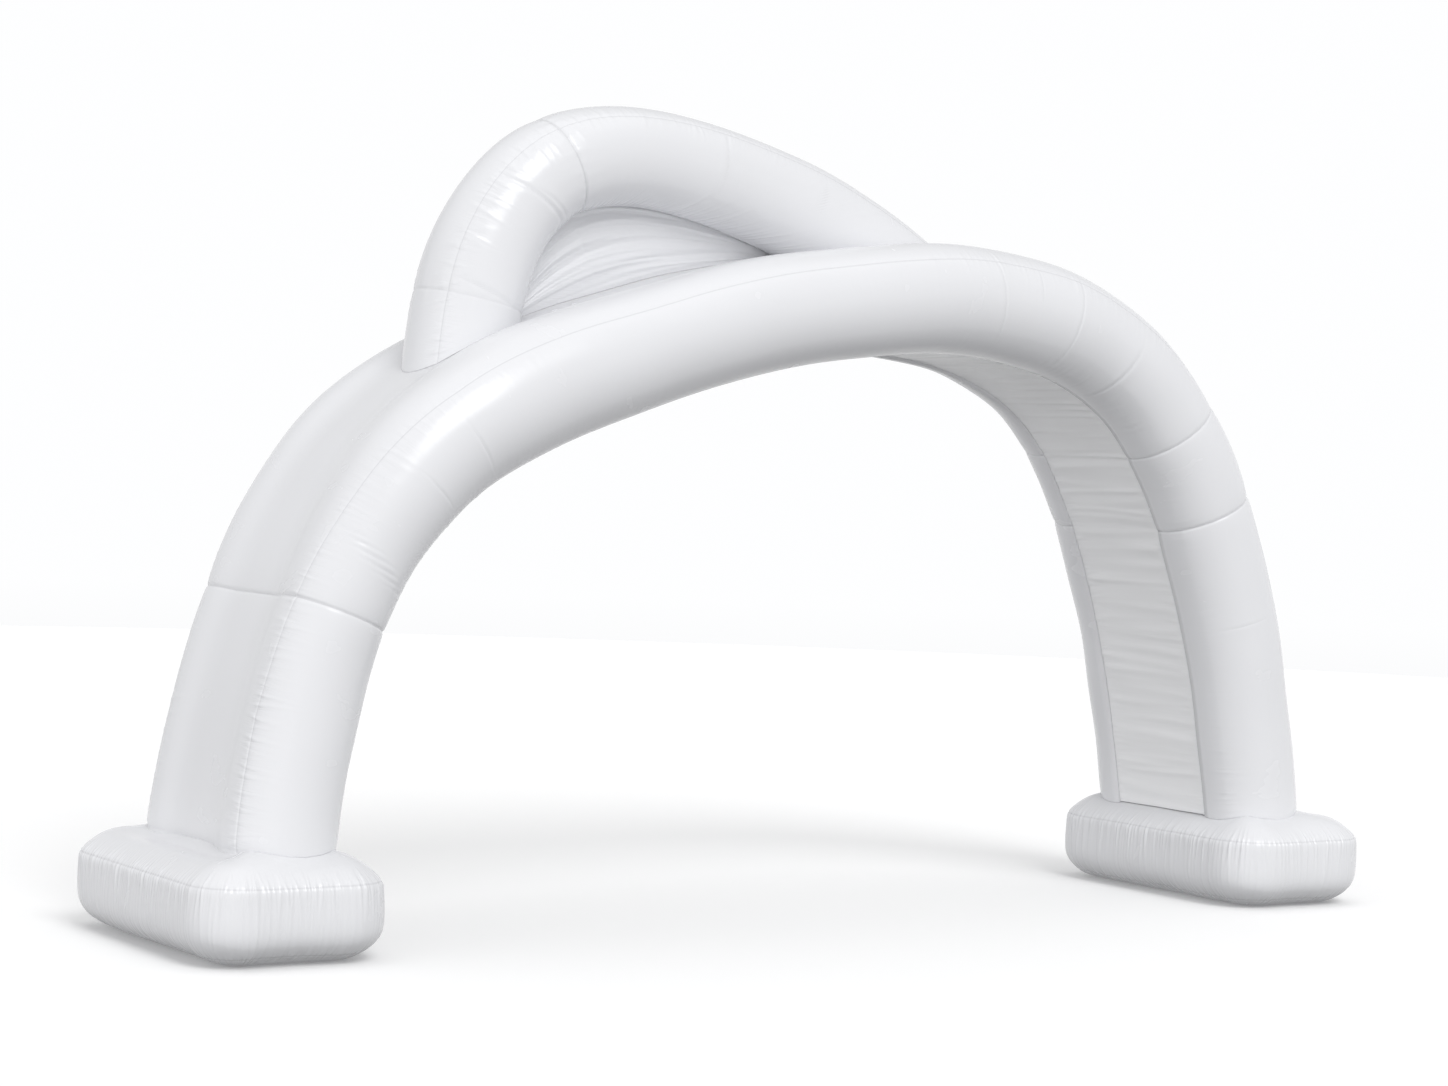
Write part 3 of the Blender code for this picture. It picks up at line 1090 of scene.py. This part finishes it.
        strength = np.array([self.outer_strength(place) for place in rows])[:, None]
        gather = bell(distance, 0.07) * (0.15 + 0.85 * strength) + 0.3 * bell(inner, 0.06)
        mark = 0.8 * bell(distance, 0.0015)
        for seam in self.seams:
            mark = np.maximum(mark, seam.mark * bell(along - seam.along, 0.003))
        # Painted shade: a thin darker line along the crease of each fold.
        for crease in self.creases:
            reach, run = crease.read(along, turn)
            mark = np.maximum(mark, 0.4 * reach * bell(run, 0.003))
        return tuple(np.where(shown, values, 0.0) for values in (lift, mark, gather))

    def outer_strength(self, place: float) -> float:
        """Return how strong the outer corner seam's puckers are at a length."""
        return float(read_table(self.outer_puckers, place))

    def inner_strength(self, place: float) -> float:
        """Return how strong the inner corner seam's puckers are at a length."""
        return float(read_table(self.inner_puckers, place))

    def build(self, feet: Sequence[bpy.types.Object]) -> bpy.types.Object:
        """Build the body's skin on the feet.

        Args:
            feet: The left and the right foot.

        Returns:
            The padded piece.
        """
        along = self.grounded(feet)
        section = self.section(along)
        lift, mark, gather = self.lift(along, section)
        points = self.place(section, lift)
        points[:, -1] = points[:, 0]
        flat = np.stack([along, section["round"] * section["front"]], axis=-1)
        net = ClothNet(points, flat, mark, gather)
        piece = net.piece("arch_body_skin", self.cloth, closed=True)
        dress(piece, "arch_body")
        return piece


@dataclass
class CrownLoop:
    """The round tube that loops up from the left shoulder and lands on the crown."""

    cloth: CoatedCloth
    middle_y: float = -0.030
    ring_count: int = 800
    column_count: int = 100
    ease: float = 0.45
    land_ease: float = 1.35
    lift_off: float = 0.0015
    corner_seam: float = 40.0
    under_seam: float = 0.42
    header_turn: float = 0.20
    header_groove: float = 0.028
    knots: tuple[Knot, ...] = (
        Knot(-1.910, 2.617, 0.272),
        Knot(-1.863, 3.035, 0.266),
        Knot(-1.716, 3.419, 0.258),
        Knot(-1.439, 3.687, 0.249),
        Knot(-1.017, 3.788, 0.242),
        Knot(-0.546, 3.740, 0.245),
        Knot(-0.025, 3.598, 0.256),
        Knot(0.467, 3.372, 0.270),
        Knot(0.921, 3.078, 0.283),
    )
    corner_puckers: Table = (
        (0.0, 0.8), (0.4, 1.0), (1.2, 1.0), (1.7, 0.8), (2.6, 0.4), (3.2, 0.8), (3.8, 0.8),
    )
    header_tuck: Table = ((0.0, 1.0), (0.3, 0.7), (0.9, 0.4), (1.5, 0.7), (3.3, 1.0))
    seams: tuple[CrossSeam, ...] = (
        CrossSeam(0.410, 0.005, 0.001, 0.35),
        CrossSeam(1.260, 0.007, 0.004),
    )
    creases: tuple[Crease, ...] = (
        Crease(2.100, -80.0, 42.0, 0.004, 0.008, 0.0),
        Crease(2.690, -74.0, 20.0, 0.003, 0.007, 0.0),
        Crease(0.980, -92.0, 58.0, 0.006, 0.014, -0.05),
        Crease(1.050, -120.0, 40.0, 0.004, 0.010, -0.08),
        Crease(0.450, -80.0, 40.0, 0.004, 0.012, 0.05),
    )
    line: CentreLine = field(init=False)

    def __post_init__(self) -> None:
        """Prepare the centre line."""
        self.line = CentreLine(self.knots, self.seams)

    def surface(self, along: Array, turn: Array, lift: Array) -> Array:
        """Return points of the tube.

        Args:
            along: Lengths along the loop.
            turn: Angles from the outer side, in radians; the front is below nothing.
            lift: How far each point stands off the tube.

        Returns:
            The points, in the arguments' shape with an axis added.
        """
        x, z, normal_x, normal_z, radius = self.line.read(along)
        reach = radius + lift
        height = reach * np.cos(turn)
        depth = np.broadcast_to(self.middle_y + reach * np.sin(turn), height.shape)
        return np.stack([x + height * normal_x, depth, z + height * normal_z], axis=-1)

    def landed(self, turns: Array, body: bpy.types.Object) -> Array:
        """Spread the rings so that every column starts and ends just above the arch.

        Args:
            turns: Each column's angle from the outer side, in radians.
            body: The arch's skin.

        Returns:
            The length along the loop, by row and column.
        """
        marks = [line.along + step for line in self.seams + self.creases for step in MARK_STEPS]
        base = marked(np.linspace(0.0, self.line.length, self.ring_count), marks, 0.002)
        along = np.repeat(base[:, None], len(turns), axis=1)
        tree = tree_of(body)
        tries = 90
        middle = 0.5 * self.line.length
        for end, way, ease in ((0.0, 1.0, self.ease), (self.line.length, -1.0, self.land_ease)):
            lengths = np.linspace(middle, end, tries)
            for column, turn in enumerate(turns):
                points = self.surface(lengths, np.full(tries, turn), np.zeros(tries))
                step = first_touch(points, tree)
                step = tries - 1 if step is None else step
                touch = middle + (end - middle) * step / (tries - 1) + way * self.lift_off
                reach = way * (touch - end)
                width = reach + ease
                run = way * (along[:, column] - end)
                near = run < width
                along[near, column] = end + way * (reach + (width - reach) * run[near] / width)
        return along

    def lift(self, along: Array, turns: Array) -> tuple[Array, Array, Array]:
        """Work out the loop's lift, its seam mark, which also holds painted shade along the
        creases, and its gather mark, by row and column.

        Args:
            along: The length along the loop, by row and column.
            turns: Each column's angle, in radians.

        Returns:
            The lift in metres and both marks.
        """
        rows = along.mean(axis=1)
        radius = self.line.read(along)[4]
        lift = 0.0025 * ripple(7, along, turns[None, :] * radius, 0.6)
        corner = math.radians(self.corner_seam)
        mark = np.zeros(along.shape)
        gather = np.zeros(along.shape)
        for way, seed in ((-1.0, 31), (1.0, 71)):
            distance = (way * turns[None, :] - corner) * radius
            strong = Puckers(
                seed, pitch=0.028, width=0.0080, below=0.036, above=0.050,
                height=0.0052, lean=0.20, groove=0.0020,
            )
            near = np.abs(distance) < 0.45
            lift += np.where(near, strong.lift(rows, distance, self.strength), 0.0)
            mark = np.maximum(mark, 0.7 * bell(distance, 0.0015))
            gather = np.maximum(gather, bell(distance, 0.07))
            under = (way * turns[None, :] - math.pi + self.under_seam) * radius
            soft = Puckers(
                seed + 3, pitch=0.040, width=0.0100, below=0.050, above=0.050,
                height=0.0030, lean=0.2, groove=0.001,
            )
            lift += np.where(np.abs(under) < 0.3, soft.lift(rows, under), 0.0)
            gather = np.maximum(gather, 0.5 * bell(under, 0.07))
        for crease in self.creases:
            reach, run = crease.read(along, turns[None, :])
            lift -= crease.sink(along, turns[None, :])
            # Painted shade: a thin darker line along the crease of each fold.
            mark = np.maximum(mark, 0.4 * reach ** 0.7 * bell(run, 0.002))
        for index, seam in enumerate(self.seams):
            rays = Puckers(
                90 + index, pitch=0.040, width=0.010, below=0.045, above=0.060,
                height=0.0050, lean=0.2, groove=0.0,
            )
            lift += rays.lift(turns * float(radius.mean()), (along - seam.along).T).T
            mark = np.maximum(mark, seam.mark * bell(along - seam.along, 0.003))
        tucked = read_table(self.header_tuck, rows)[:, None]
        from_header = (turns[None, :] - math.pi + self.header_turn) * radius
        lift -= self.header_groove * tucked * bell(from_header, 0.012)
        lift[:, -1] = lift[:, 0]
        return lift, mark, gather

    def strength(self, place: float) -> float:
        """Return how strong the corner seam's puckers are at a length."""
        return float(read_table(self.corner_puckers, place))

    def build(self, body: bpy.types.Object) -> bpy.types.Object:
        """Build the loop's skin on the arch's body.

        Args:
            body: The arch's skin.

        Returns:
            The padded piece.
        """
        turns = np.linspace(-math.pi, math.pi, self.column_count + 1)
        corner = math.radians(self.corner_seam)
        marks = [way * corner + step for way in (-1.0, 1.0) for step in (-0.015, 0.0, 0.015)]
        header = math.pi - self.header_turn
        marks += [header + step for step in (-0.07, -0.035, 0.0, 0.035, 0.07)]
        turns = marked(turns, marks, 0.02)
        along = self.landed(turns, body)
        lift, mark, gather = self.lift(along, turns)
        points = self.surface(along, np.broadcast_to(turns, along.shape), lift)
        points[:, -1] = points[:, 0]
        flat = np.stack([along, np.broadcast_to(turns * 0.25, along.shape)], axis=-1)
        net = ClothNet(points, flat, mark, gather)
        piece = net.piece("crown_loop_skin", self.cloth, closed=True)
        dress(piece, "crown_loop")
        return piece


@dataclass
class InnerWeb:
    """The gathered web that closes the arch's inner side between its tubes."""

    cloth: CoatedCloth
    body: ArchBody
    half_width: float = 0.361
    recess: float = 0.020
    thickness: float = 0.002
    row_count: int = 1000
    column_count: int = 28
    edge_rise: float = 0.006
    edge_fade: float = 0.07
    base_ease: float = 0.30
    clearance: float = 0.004
    band_pitch: float = 0.058
    band_width: float = 0.020
    band_height: float = 0.0105
    band_lean: float = 0.015
    band_sag: float = 0.012
    lowest: float = -0.006
    highest: float = 0.016
    flat_size: tuple[float, float] = (0.74, 9.20)

    def lift(self, along: Array, across: Array) -> Array:
        """Work out the web's gathers.

        Args:
            along: The length along the arch, by row and column.
            across: The place across the web, from -1 at the front to 1 at the back.

        Returns:
            The lift in metres.
        """
        chance = np.random.default_rng(17)
        rows = along.mean(axis=1)
        lift = 0.0020 * ripple(19, along, across * self.half_width, 0.35)
        place = rows[0]
        while place < rows[-1]:
            place += self.band_pitch * chance.uniform(0.4, 1.6)
            width = self.band_width * chance.uniform(0.6, 1.9)
            height = self.band_height * chance.uniform(0.2, 1.0)
            lean = self.band_lean * chance.uniform(-1.0, 1.0)
            side = chance.uniform(-1.0, 1.0)
            reach = chance.uniform(0.9, 3.0)
            sag = self.band_sag * chance.uniform(-1.0, 1.0)
            margin = 3.0 * width + 0.08
            first, last = np.searchsorted(rows, [place - margin, place + margin])
            part = across[first:last]
            run = along[first:last] - place - lean * part - sag * part ** 2
            fade = np.exp(-(np.abs(part - math.copysign(1.0, side)) / reach) ** 2)
            lift[first:last] += height * bell(run, width) * fade
        lift *= np.clip((1.0 - np.abs(across)) * self.half_width / self.edge_fade, 0.0, 1.0)
        for way, seed in ((-1.0, 51), (1.0, 52)):
            edge = (1.0 - way * across) * self.half_width
            gathers = Puckers(
                seed, pitch=0.020, width=0.0070, below=0.060, above=0.060,
                height=0.0050, lean=0.2, groove=0.0,
            )
            lift += gathers.lift(rows, edge) + self.edge_rise * bell(edge, 0.030)
        for seam in self.body.seams:
            lift += 0.006 * bell(along - seam.along, 0.012)
        return np.clip(lift - 0.001, self.lowest, self.highest)

    def build(self, feet: Sequence[bpy.types.Object]) -> bpy.types.Object:
        """Build the web between the feet.

        Args:
            feet: The left and the right foot.

        Returns:
            The sheet.
        """
        across = marked(np.linspace(-1.0, 1.0, self.column_count), (-0.98, 0.98), 0.01)
        length = self.body.line.length
        base = np.linspace(0.0, length, self.row_count)
        along = np.repeat(base[:, None], len(across), axis=1)
        depth = across * self.half_width
        stand_on(
            along, length, feet, self.base_ease, self.clearance,
            lambda grid: self.place(
                grid, np.broadcast_to(depth, grid.shape), np.zeros(grid.shape)
            ),
        )
        grid = np.broadcast_to(across, along.shape)
        lift = self.lift(along, grid)
        points = self.place(along, grid * self.half_width, lift)
        flat = np.stack([along, grid * self.half_width], axis=-1)
        edge = (1.0 - np.abs(grid)) * self.half_width
        net = ClothNet(points, flat, 0.5 * bell(edge, 0.003), 0.35 + 0.65 * bell(edge, 0.09))
        piece = net.piece("inner_web_cloth", self.cloth, closed=False)
        wall = piece.modifiers.new("Cloth thickness", "SOLIDIFY")
        wall.thickness = self.thickness
        wall.offset = 0.0
        dress(piece, "inner_web")
        return piece

    def place(self, along: Array, depth: Array, lift: Array) -> Array:
        """Return the web's points, lifted towards the passage.

        Args:
            along: Lengths along the arch.
            depth: Places from front to back.
            lift: How far each point is lifted.

        Returns:
            The points, in the arguments' shape with an axis added.
        """
        x, z, normal_x, normal_z, radius = self.body.line.read(along)
        height = self.recess - radius - lift
        return np.stack([x + height * normal_x, depth, z + height * normal_z], axis=-1)


@dataclass
class HeaderPanel:
    """The gathered upright panel between the loop and the arch's crown."""

    cloth: CoatedCloth
    body: ArchBody
    loop: CrownLoop
    middle_y: float = 0.020
    clearance: float = 0.003
    least: float = 0.006
    belly: float = 0.012
    thickness: float = 0.002
    row_count: int = 74
    column_count: int = 220
    flat_size: tuple[float, float] = (1.60, 0.66)
    flat_area: float = 0.48
    sky_z: float = 6.0
    folds: tuple[Fold, ...] = (
        Fold(0.00, 0.25, 0.55, 0.30, 0.008, 0.050),
        Fold(0.03, 0.45, 0.75, 0.55, -0.007, 0.045),
        Fold(0.05, 0.62, 0.50, 0.60, 0.008, 0.040),
        Fold(0.10, 0.80, 0.85, 0.75, 0.007, 0.050),
        Fold(0.30, 0.15, 0.95, 0.35, -0.006, 0.055),
        Fold(0.35, 0.90, 0.70, 0.86, -0.008, 0.035),
    )

    @staticmethod
    def skin_at(tree: BVHTree, start: Sequence[float], way: Sequence[float]) -> float:
        """Return how far a skin is from a point, along a unit way; nothing if it isn't met."""
        hit = tree.ray_cast(Vector(start), Vector(way))
        return hit[3] if hit[0] is not None else 0.0

    def top_of_arch(self, x: Array, skin: BVHTree) -> Array:
        """Return the height of the arch's outer side above some places along the span.

        Args:
            x: The places.
            skin: The search tree of the arch's skin.

        Returns:
            The heights.
        """
        down = (0.0, 0.0, -1.0)
        falls = [self.skin_at(skin, (at, self.middle_y, self.sky_z), down) for at in x]
        return self.sky_z - np.array(falls)

    def edges(self, body: BVHTree, loop: BVHTree) -> tuple[Array, Array]:
        """Find the panel's lower and upper edges on the skins that it is sewn to.

        Args:
            body: The search tree of the arch's skin.
            loop: The search tree of the loop's skin.

        Returns:
            Both edges' points in the upright plane, from the left.
        """
        lengths = np.linspace(0.01, self.loop.line.length, 700)
        x, z, normal_x, normal_z, radius = self.loop.line.read(lengths)
        inner = []
        for index in range(len(lengths)):
            centre = (x[index], self.middle_y, z[index])
            way = (-normal_x[index], 0.0, -normal_z[index])
            reach = self.skin_at(loop, centre, way) + self.clearance
            inner.append((x[index] + reach * way[0], z[index] + reach * way[2]))
        inner = np.array(inner)
        clear = inner[:, 1] > self.top_of_arch(inner[:, 0], body) + self.least + self.clearance
        inner = inner[clear]
        steps = np.hypot(*np.diff(inner, axis=0).T)
        places = np.concatenate([[0.0], np.cumsum(steps)])
        even = np.linspace(0.0, places[-1], self.column_count)
        upper = np.stack([np.interp(even, places, inner[:, axis]) for axis in (0, 1)], axis=-1)
        part = even / places[-1]
        lower_x = upper[0, 0] + (upper[-1, 0] - upper[0, 0]) * part
        lower = np.stack([lower_x, self.top_of_arch(lower_x, body) + self.clearance], axis=-1)
        return lower, upper

    def push(self, across: Array, up: Array) -> Array:
        """Return how far the gathers push the panel forward, by row and column.

        Args:
            across: Places along the panel, from 0 to 1.
            up: Places up the panel, from 0 to 1.

        Returns:
            The push in metres.
        """
        push = self.belly * np.sin(math.pi * across) * np.sin(math.pi * up)
        for fold in self.folds:
            run = (across - fold.start_across) / (fold.end_across - fold.start_across)
            line = fold.start_up + (fold.end_up - fold.start_up) * run
            taper = np.sqrt(np.clip(np.sin(math.pi * np.clip(run, 0.0, 1.0)), 0.0, 1.0))
            push = push + fold.height * taper * bell(up - line, fold.width)
        chance = np.random.default_rng(23)
        for _ in range(90):
            start = chance.uniform(0.0, 0.55)
            length = chance.uniform(0.12, 0.55)
            level = chance.uniform(0.03, 0.97)
            slope = chance.uniform(-0.12, 0.16)
            width = chance.uniform(0.010, 0.024)
            height = chance.uniform(-0.0045, 0.0050)
            run = np.clip((across - start) / length, 0.0, 1.0)
            line = level + slope * (across - start)
            taper = np.sin(math.pi * run ** 0.7) ** 1.2
            push = push + height * taper * bell(up - line, width)
        return push

    def build(self, body: bpy.types.Object, loop: bpy.types.Object) -> bpy.types.Object:
        """Build the panel between the arch's skin and the loop's.

        Args:
            body: The arch's skin.
            loop: The loop's skin.

        Returns:
            The sheet.
        """
        lower, upper = self.edges(tree_of(body), tree_of(loop))
        across = np.linspace(0.0, 1.0, self.column_count)[None, :]
        up = np.linspace(0.0, 1.0, self.row_count)[:, None]
        push = self.push(across, up)
        free = np.clip(6.0 * np.minimum(up, 1.0 - up), 0.0, 1.0) ** 0.5
        push = push * free
        points = np.empty((self.row_count, self.column_count, 3))
        points[..., 0] = lower[:, 0] + (upper - lower)[:, 0] * up
        points[..., 1] = self.middle_y - push
        points[..., 2] = lower[:, 1] + (upper - lower)[:, 1] * up
        flat = points[..., [2, 0]].copy()
        rim = np.minimum(up, 1.0 - up) * (upper - lower)[:, 1]
        net = ClothNet(points, flat, 0.5 * bell(rim, 0.003), np.full(rim.shape, 0.8))
        piece = net.piece("header_panel_cloth", self.cloth, closed=False)
        wall = piece.modifiers.new("Cloth thickness", "SOLIDIFY")
        wall.thickness = self.thickness
        wall.offset = 0.0
        dress(piece, "header_panel")
        return piece


@dataclass(frozen=True)
class Key:
    """A wide soft light that shines one way."""

    name: str
    way: tuple[float, float, float]
    spread: float
    power: float

    def build(self) -> bpy.types.Object:
        """Place the light.

        Returns:
            The light, linked to the scene.
        """
        lamp = bpy.data.lights.new(self.name, "SUN")
        lamp.angle = math.radians(self.spread)
        lamp.energy = self.power
        light = bpy.data.objects.new(self.name, lamp)
        light.rotation_euler = Vector(self.way).to_track_quat("-Z", "Y").to_euler()
        bpy.context.scene.collection.objects.link(light)
        return light


@dataclass
class Studio:
    """A plain white studio with soft light and the photograph's viewpoint."""

    image_size: tuple[int, int] = (1448, 1086)
    focal_pixels: float = 3274.2
    yaw: float = 0.5808
    pitch: float = -0.0264
    roll: float = 0.0367
    eye: tuple[float, float, float] = (-9.4119, -13.8399, 2.3324)
    sensor_width: float = 36.0
    floor_radius: float = 24.0
    floor_shade: float = 0.97
    floor_light: float = 0.06
    floor_glow: float = 0.20
    wall_glow: float = 1.0
    roof_glow: float = 0.58
    wall_start: float = 0.60
    wall_pace: float = 1.8
    roof_start: float = 0.16
    roof_pace: float = 3.5
    keys: tuple[Key, ...] = (
        Key("key", (0.08, 0.74, -0.67), 28.0, 1.18),
        Key("top", (-0.05, 0.10, -1.0), 60.0, 0.38),
        Key("fill", (0.90, 0.35, 0.14), 80.0, 0.66),
    )

    def build(self) -> None:
        """Build the floor, the light and the camera."""
        self.floor()
        self.sky()
        for key in self.keys:
            key.build()
        self.camera()
        bpy.context.scene.view_settings.view_transform = "Standard"

    def floor(self) -> None:
        """Lay a wide pale floor."""
        shape = bmesh.new()
        bmesh.ops.create_circle(shape, cap_ends=True, segments=96, radius=self.floor_radius)
        mesh = bpy.data.meshes.new("studio_floor")
        shape.to_mesh(mesh)
        shape.free()
        paint = bpy.data.materials.new("studio_floor")
        paint.use_nodes = True
        surface = paint.node_tree.nodes["Principled BSDF"]
        surface.inputs["Base Color"].default_value = (*[self.floor_shade] * 3, 1.0)
        surface.inputs["Roughness"].default_value = 0.9
        surface.inputs["Specular IOR Level"].default_value = 0.1
        surface.inputs["Emission Color"].default_value = (*[self.floor_light] * 3, 1.0)
        surface.inputs["Emission Strength"].default_value = 1.0
        mesh.materials.append(paint)
        ground = bpy.data.objects.new("studio_floor", mesh)
        bpy.context.scene.collection.objects.link(ground)
        ground.visible_diffuse = False

    def sky(self) -> None:
        """Surround the arch with a white wall, a softer roof and a dimmer ground."""
        world = bpy.data.worlds.new("studio")
        world.use_nodes = True
        bpy.context.scene.world = world
        bench = NodeBench(world.node_tree)
        way = bench.field(NodeKind.COORDINATES, "Generated", {}, {})
        axes = bench.node(NodeKind.SEPARATE, {}, {"Vector": way})
        rise = Field(world.node_tree, axes.outputs["Z"])
        wall = ((rise + self.wall_start) * self.wall_pace).at_least(0.0).at_most(1.0)
        roof = ((rise - self.roof_start) * self.roof_pace).at_least(0.0).at_most(1.0)
        glow = self.floor_glow + (self.wall_glow - self.floor_glow) * wall
        glow = glow - (self.wall_glow - self.roof_glow) * roof
        background = world.node_tree.nodes["Background"]
        background.inputs["Color"].default_value = (0.990, 0.993, 1.0, 1.0)
        world.node_tree.links.new(glow.socket, background.inputs["Strength"])

    def camera(self) -> None:
        """Stand the camera where the photograph was taken."""
        lens = bpy.data.cameras.new("photo_camera")
        lens.sensor_fit = "HORIZONTAL"
        lens.sensor_width = self.sensor_width
        lens.lens = self.sensor_width * self.focal_pixels / self.image_size[0]
        lens.clip_end = 500.0
        ahead = Vector((
            math.sin(self.yaw) * math.cos(self.pitch),
            math.cos(self.yaw) * math.cos(self.pitch),
            math.sin(self.pitch),
        ))
        level = Vector((math.cos(self.yaw), -math.sin(self.yaw), 0.0))
        above = level.cross(ahead)
        right = level * math.cos(self.roll) + above * math.sin(self.roll)
        top = above * math.cos(self.roll) - level * math.sin(self.roll)
        camera = bpy.data.objects.new("photo_camera", lens)
        stand = Matrix((right, top, -ahead)).transposed().to_4x4()
        stand.translation = Vector(self.eye)
        camera.matrix_world = stand
        bpy.context.scene.collection.objects.link(camera)
        bpy.context.scene.camera = camera


def main() -> None:
    """Build the studio and dress every piece of the arch."""
    logging.basicConfig(level=logging.INFO, format="%(name)s %(message)s")
    Studio().build()
    tube = CoatedCloth("tube_cloth")
    cushion = CoatedCloth("foot_cloth", crease_height=0.0026, handling_height=0.0006)
    loop_cloth = CoatedCloth("loop_cloth", roughness=0.23)
    # The web is the same white cloth painted lighter than the tubes: painted light that makes up
    # for the shade it lies in under the arch.
    web_cloth = CoatedCloth(
        "web_cloth", shade=(0.900, 0.902, 0.912), aged=(0.875, 0.877, 0.888),
        roughness=0.38, crease_scale=(30.0, 3.0),
    )
    header_cloth = CoatedCloth("header_cloth", roughness=0.36, crease_scale=(34.0, 3.0))
    feet = [Foot(side, cushion).build() for side in (Side.LEFT, Side.RIGHT)]
    body = ArchBody(tube)
    skin = body.build(feet)
    loop = CrownLoop(loop_cloth)
    loop_skin = loop.build(skin)
    InnerWeb(web_cloth, body).build(feet)
    HeaderPanel(header_cloth, body, loop).build(skin, loop_skin)


if __name__ == "__main__":
    main()
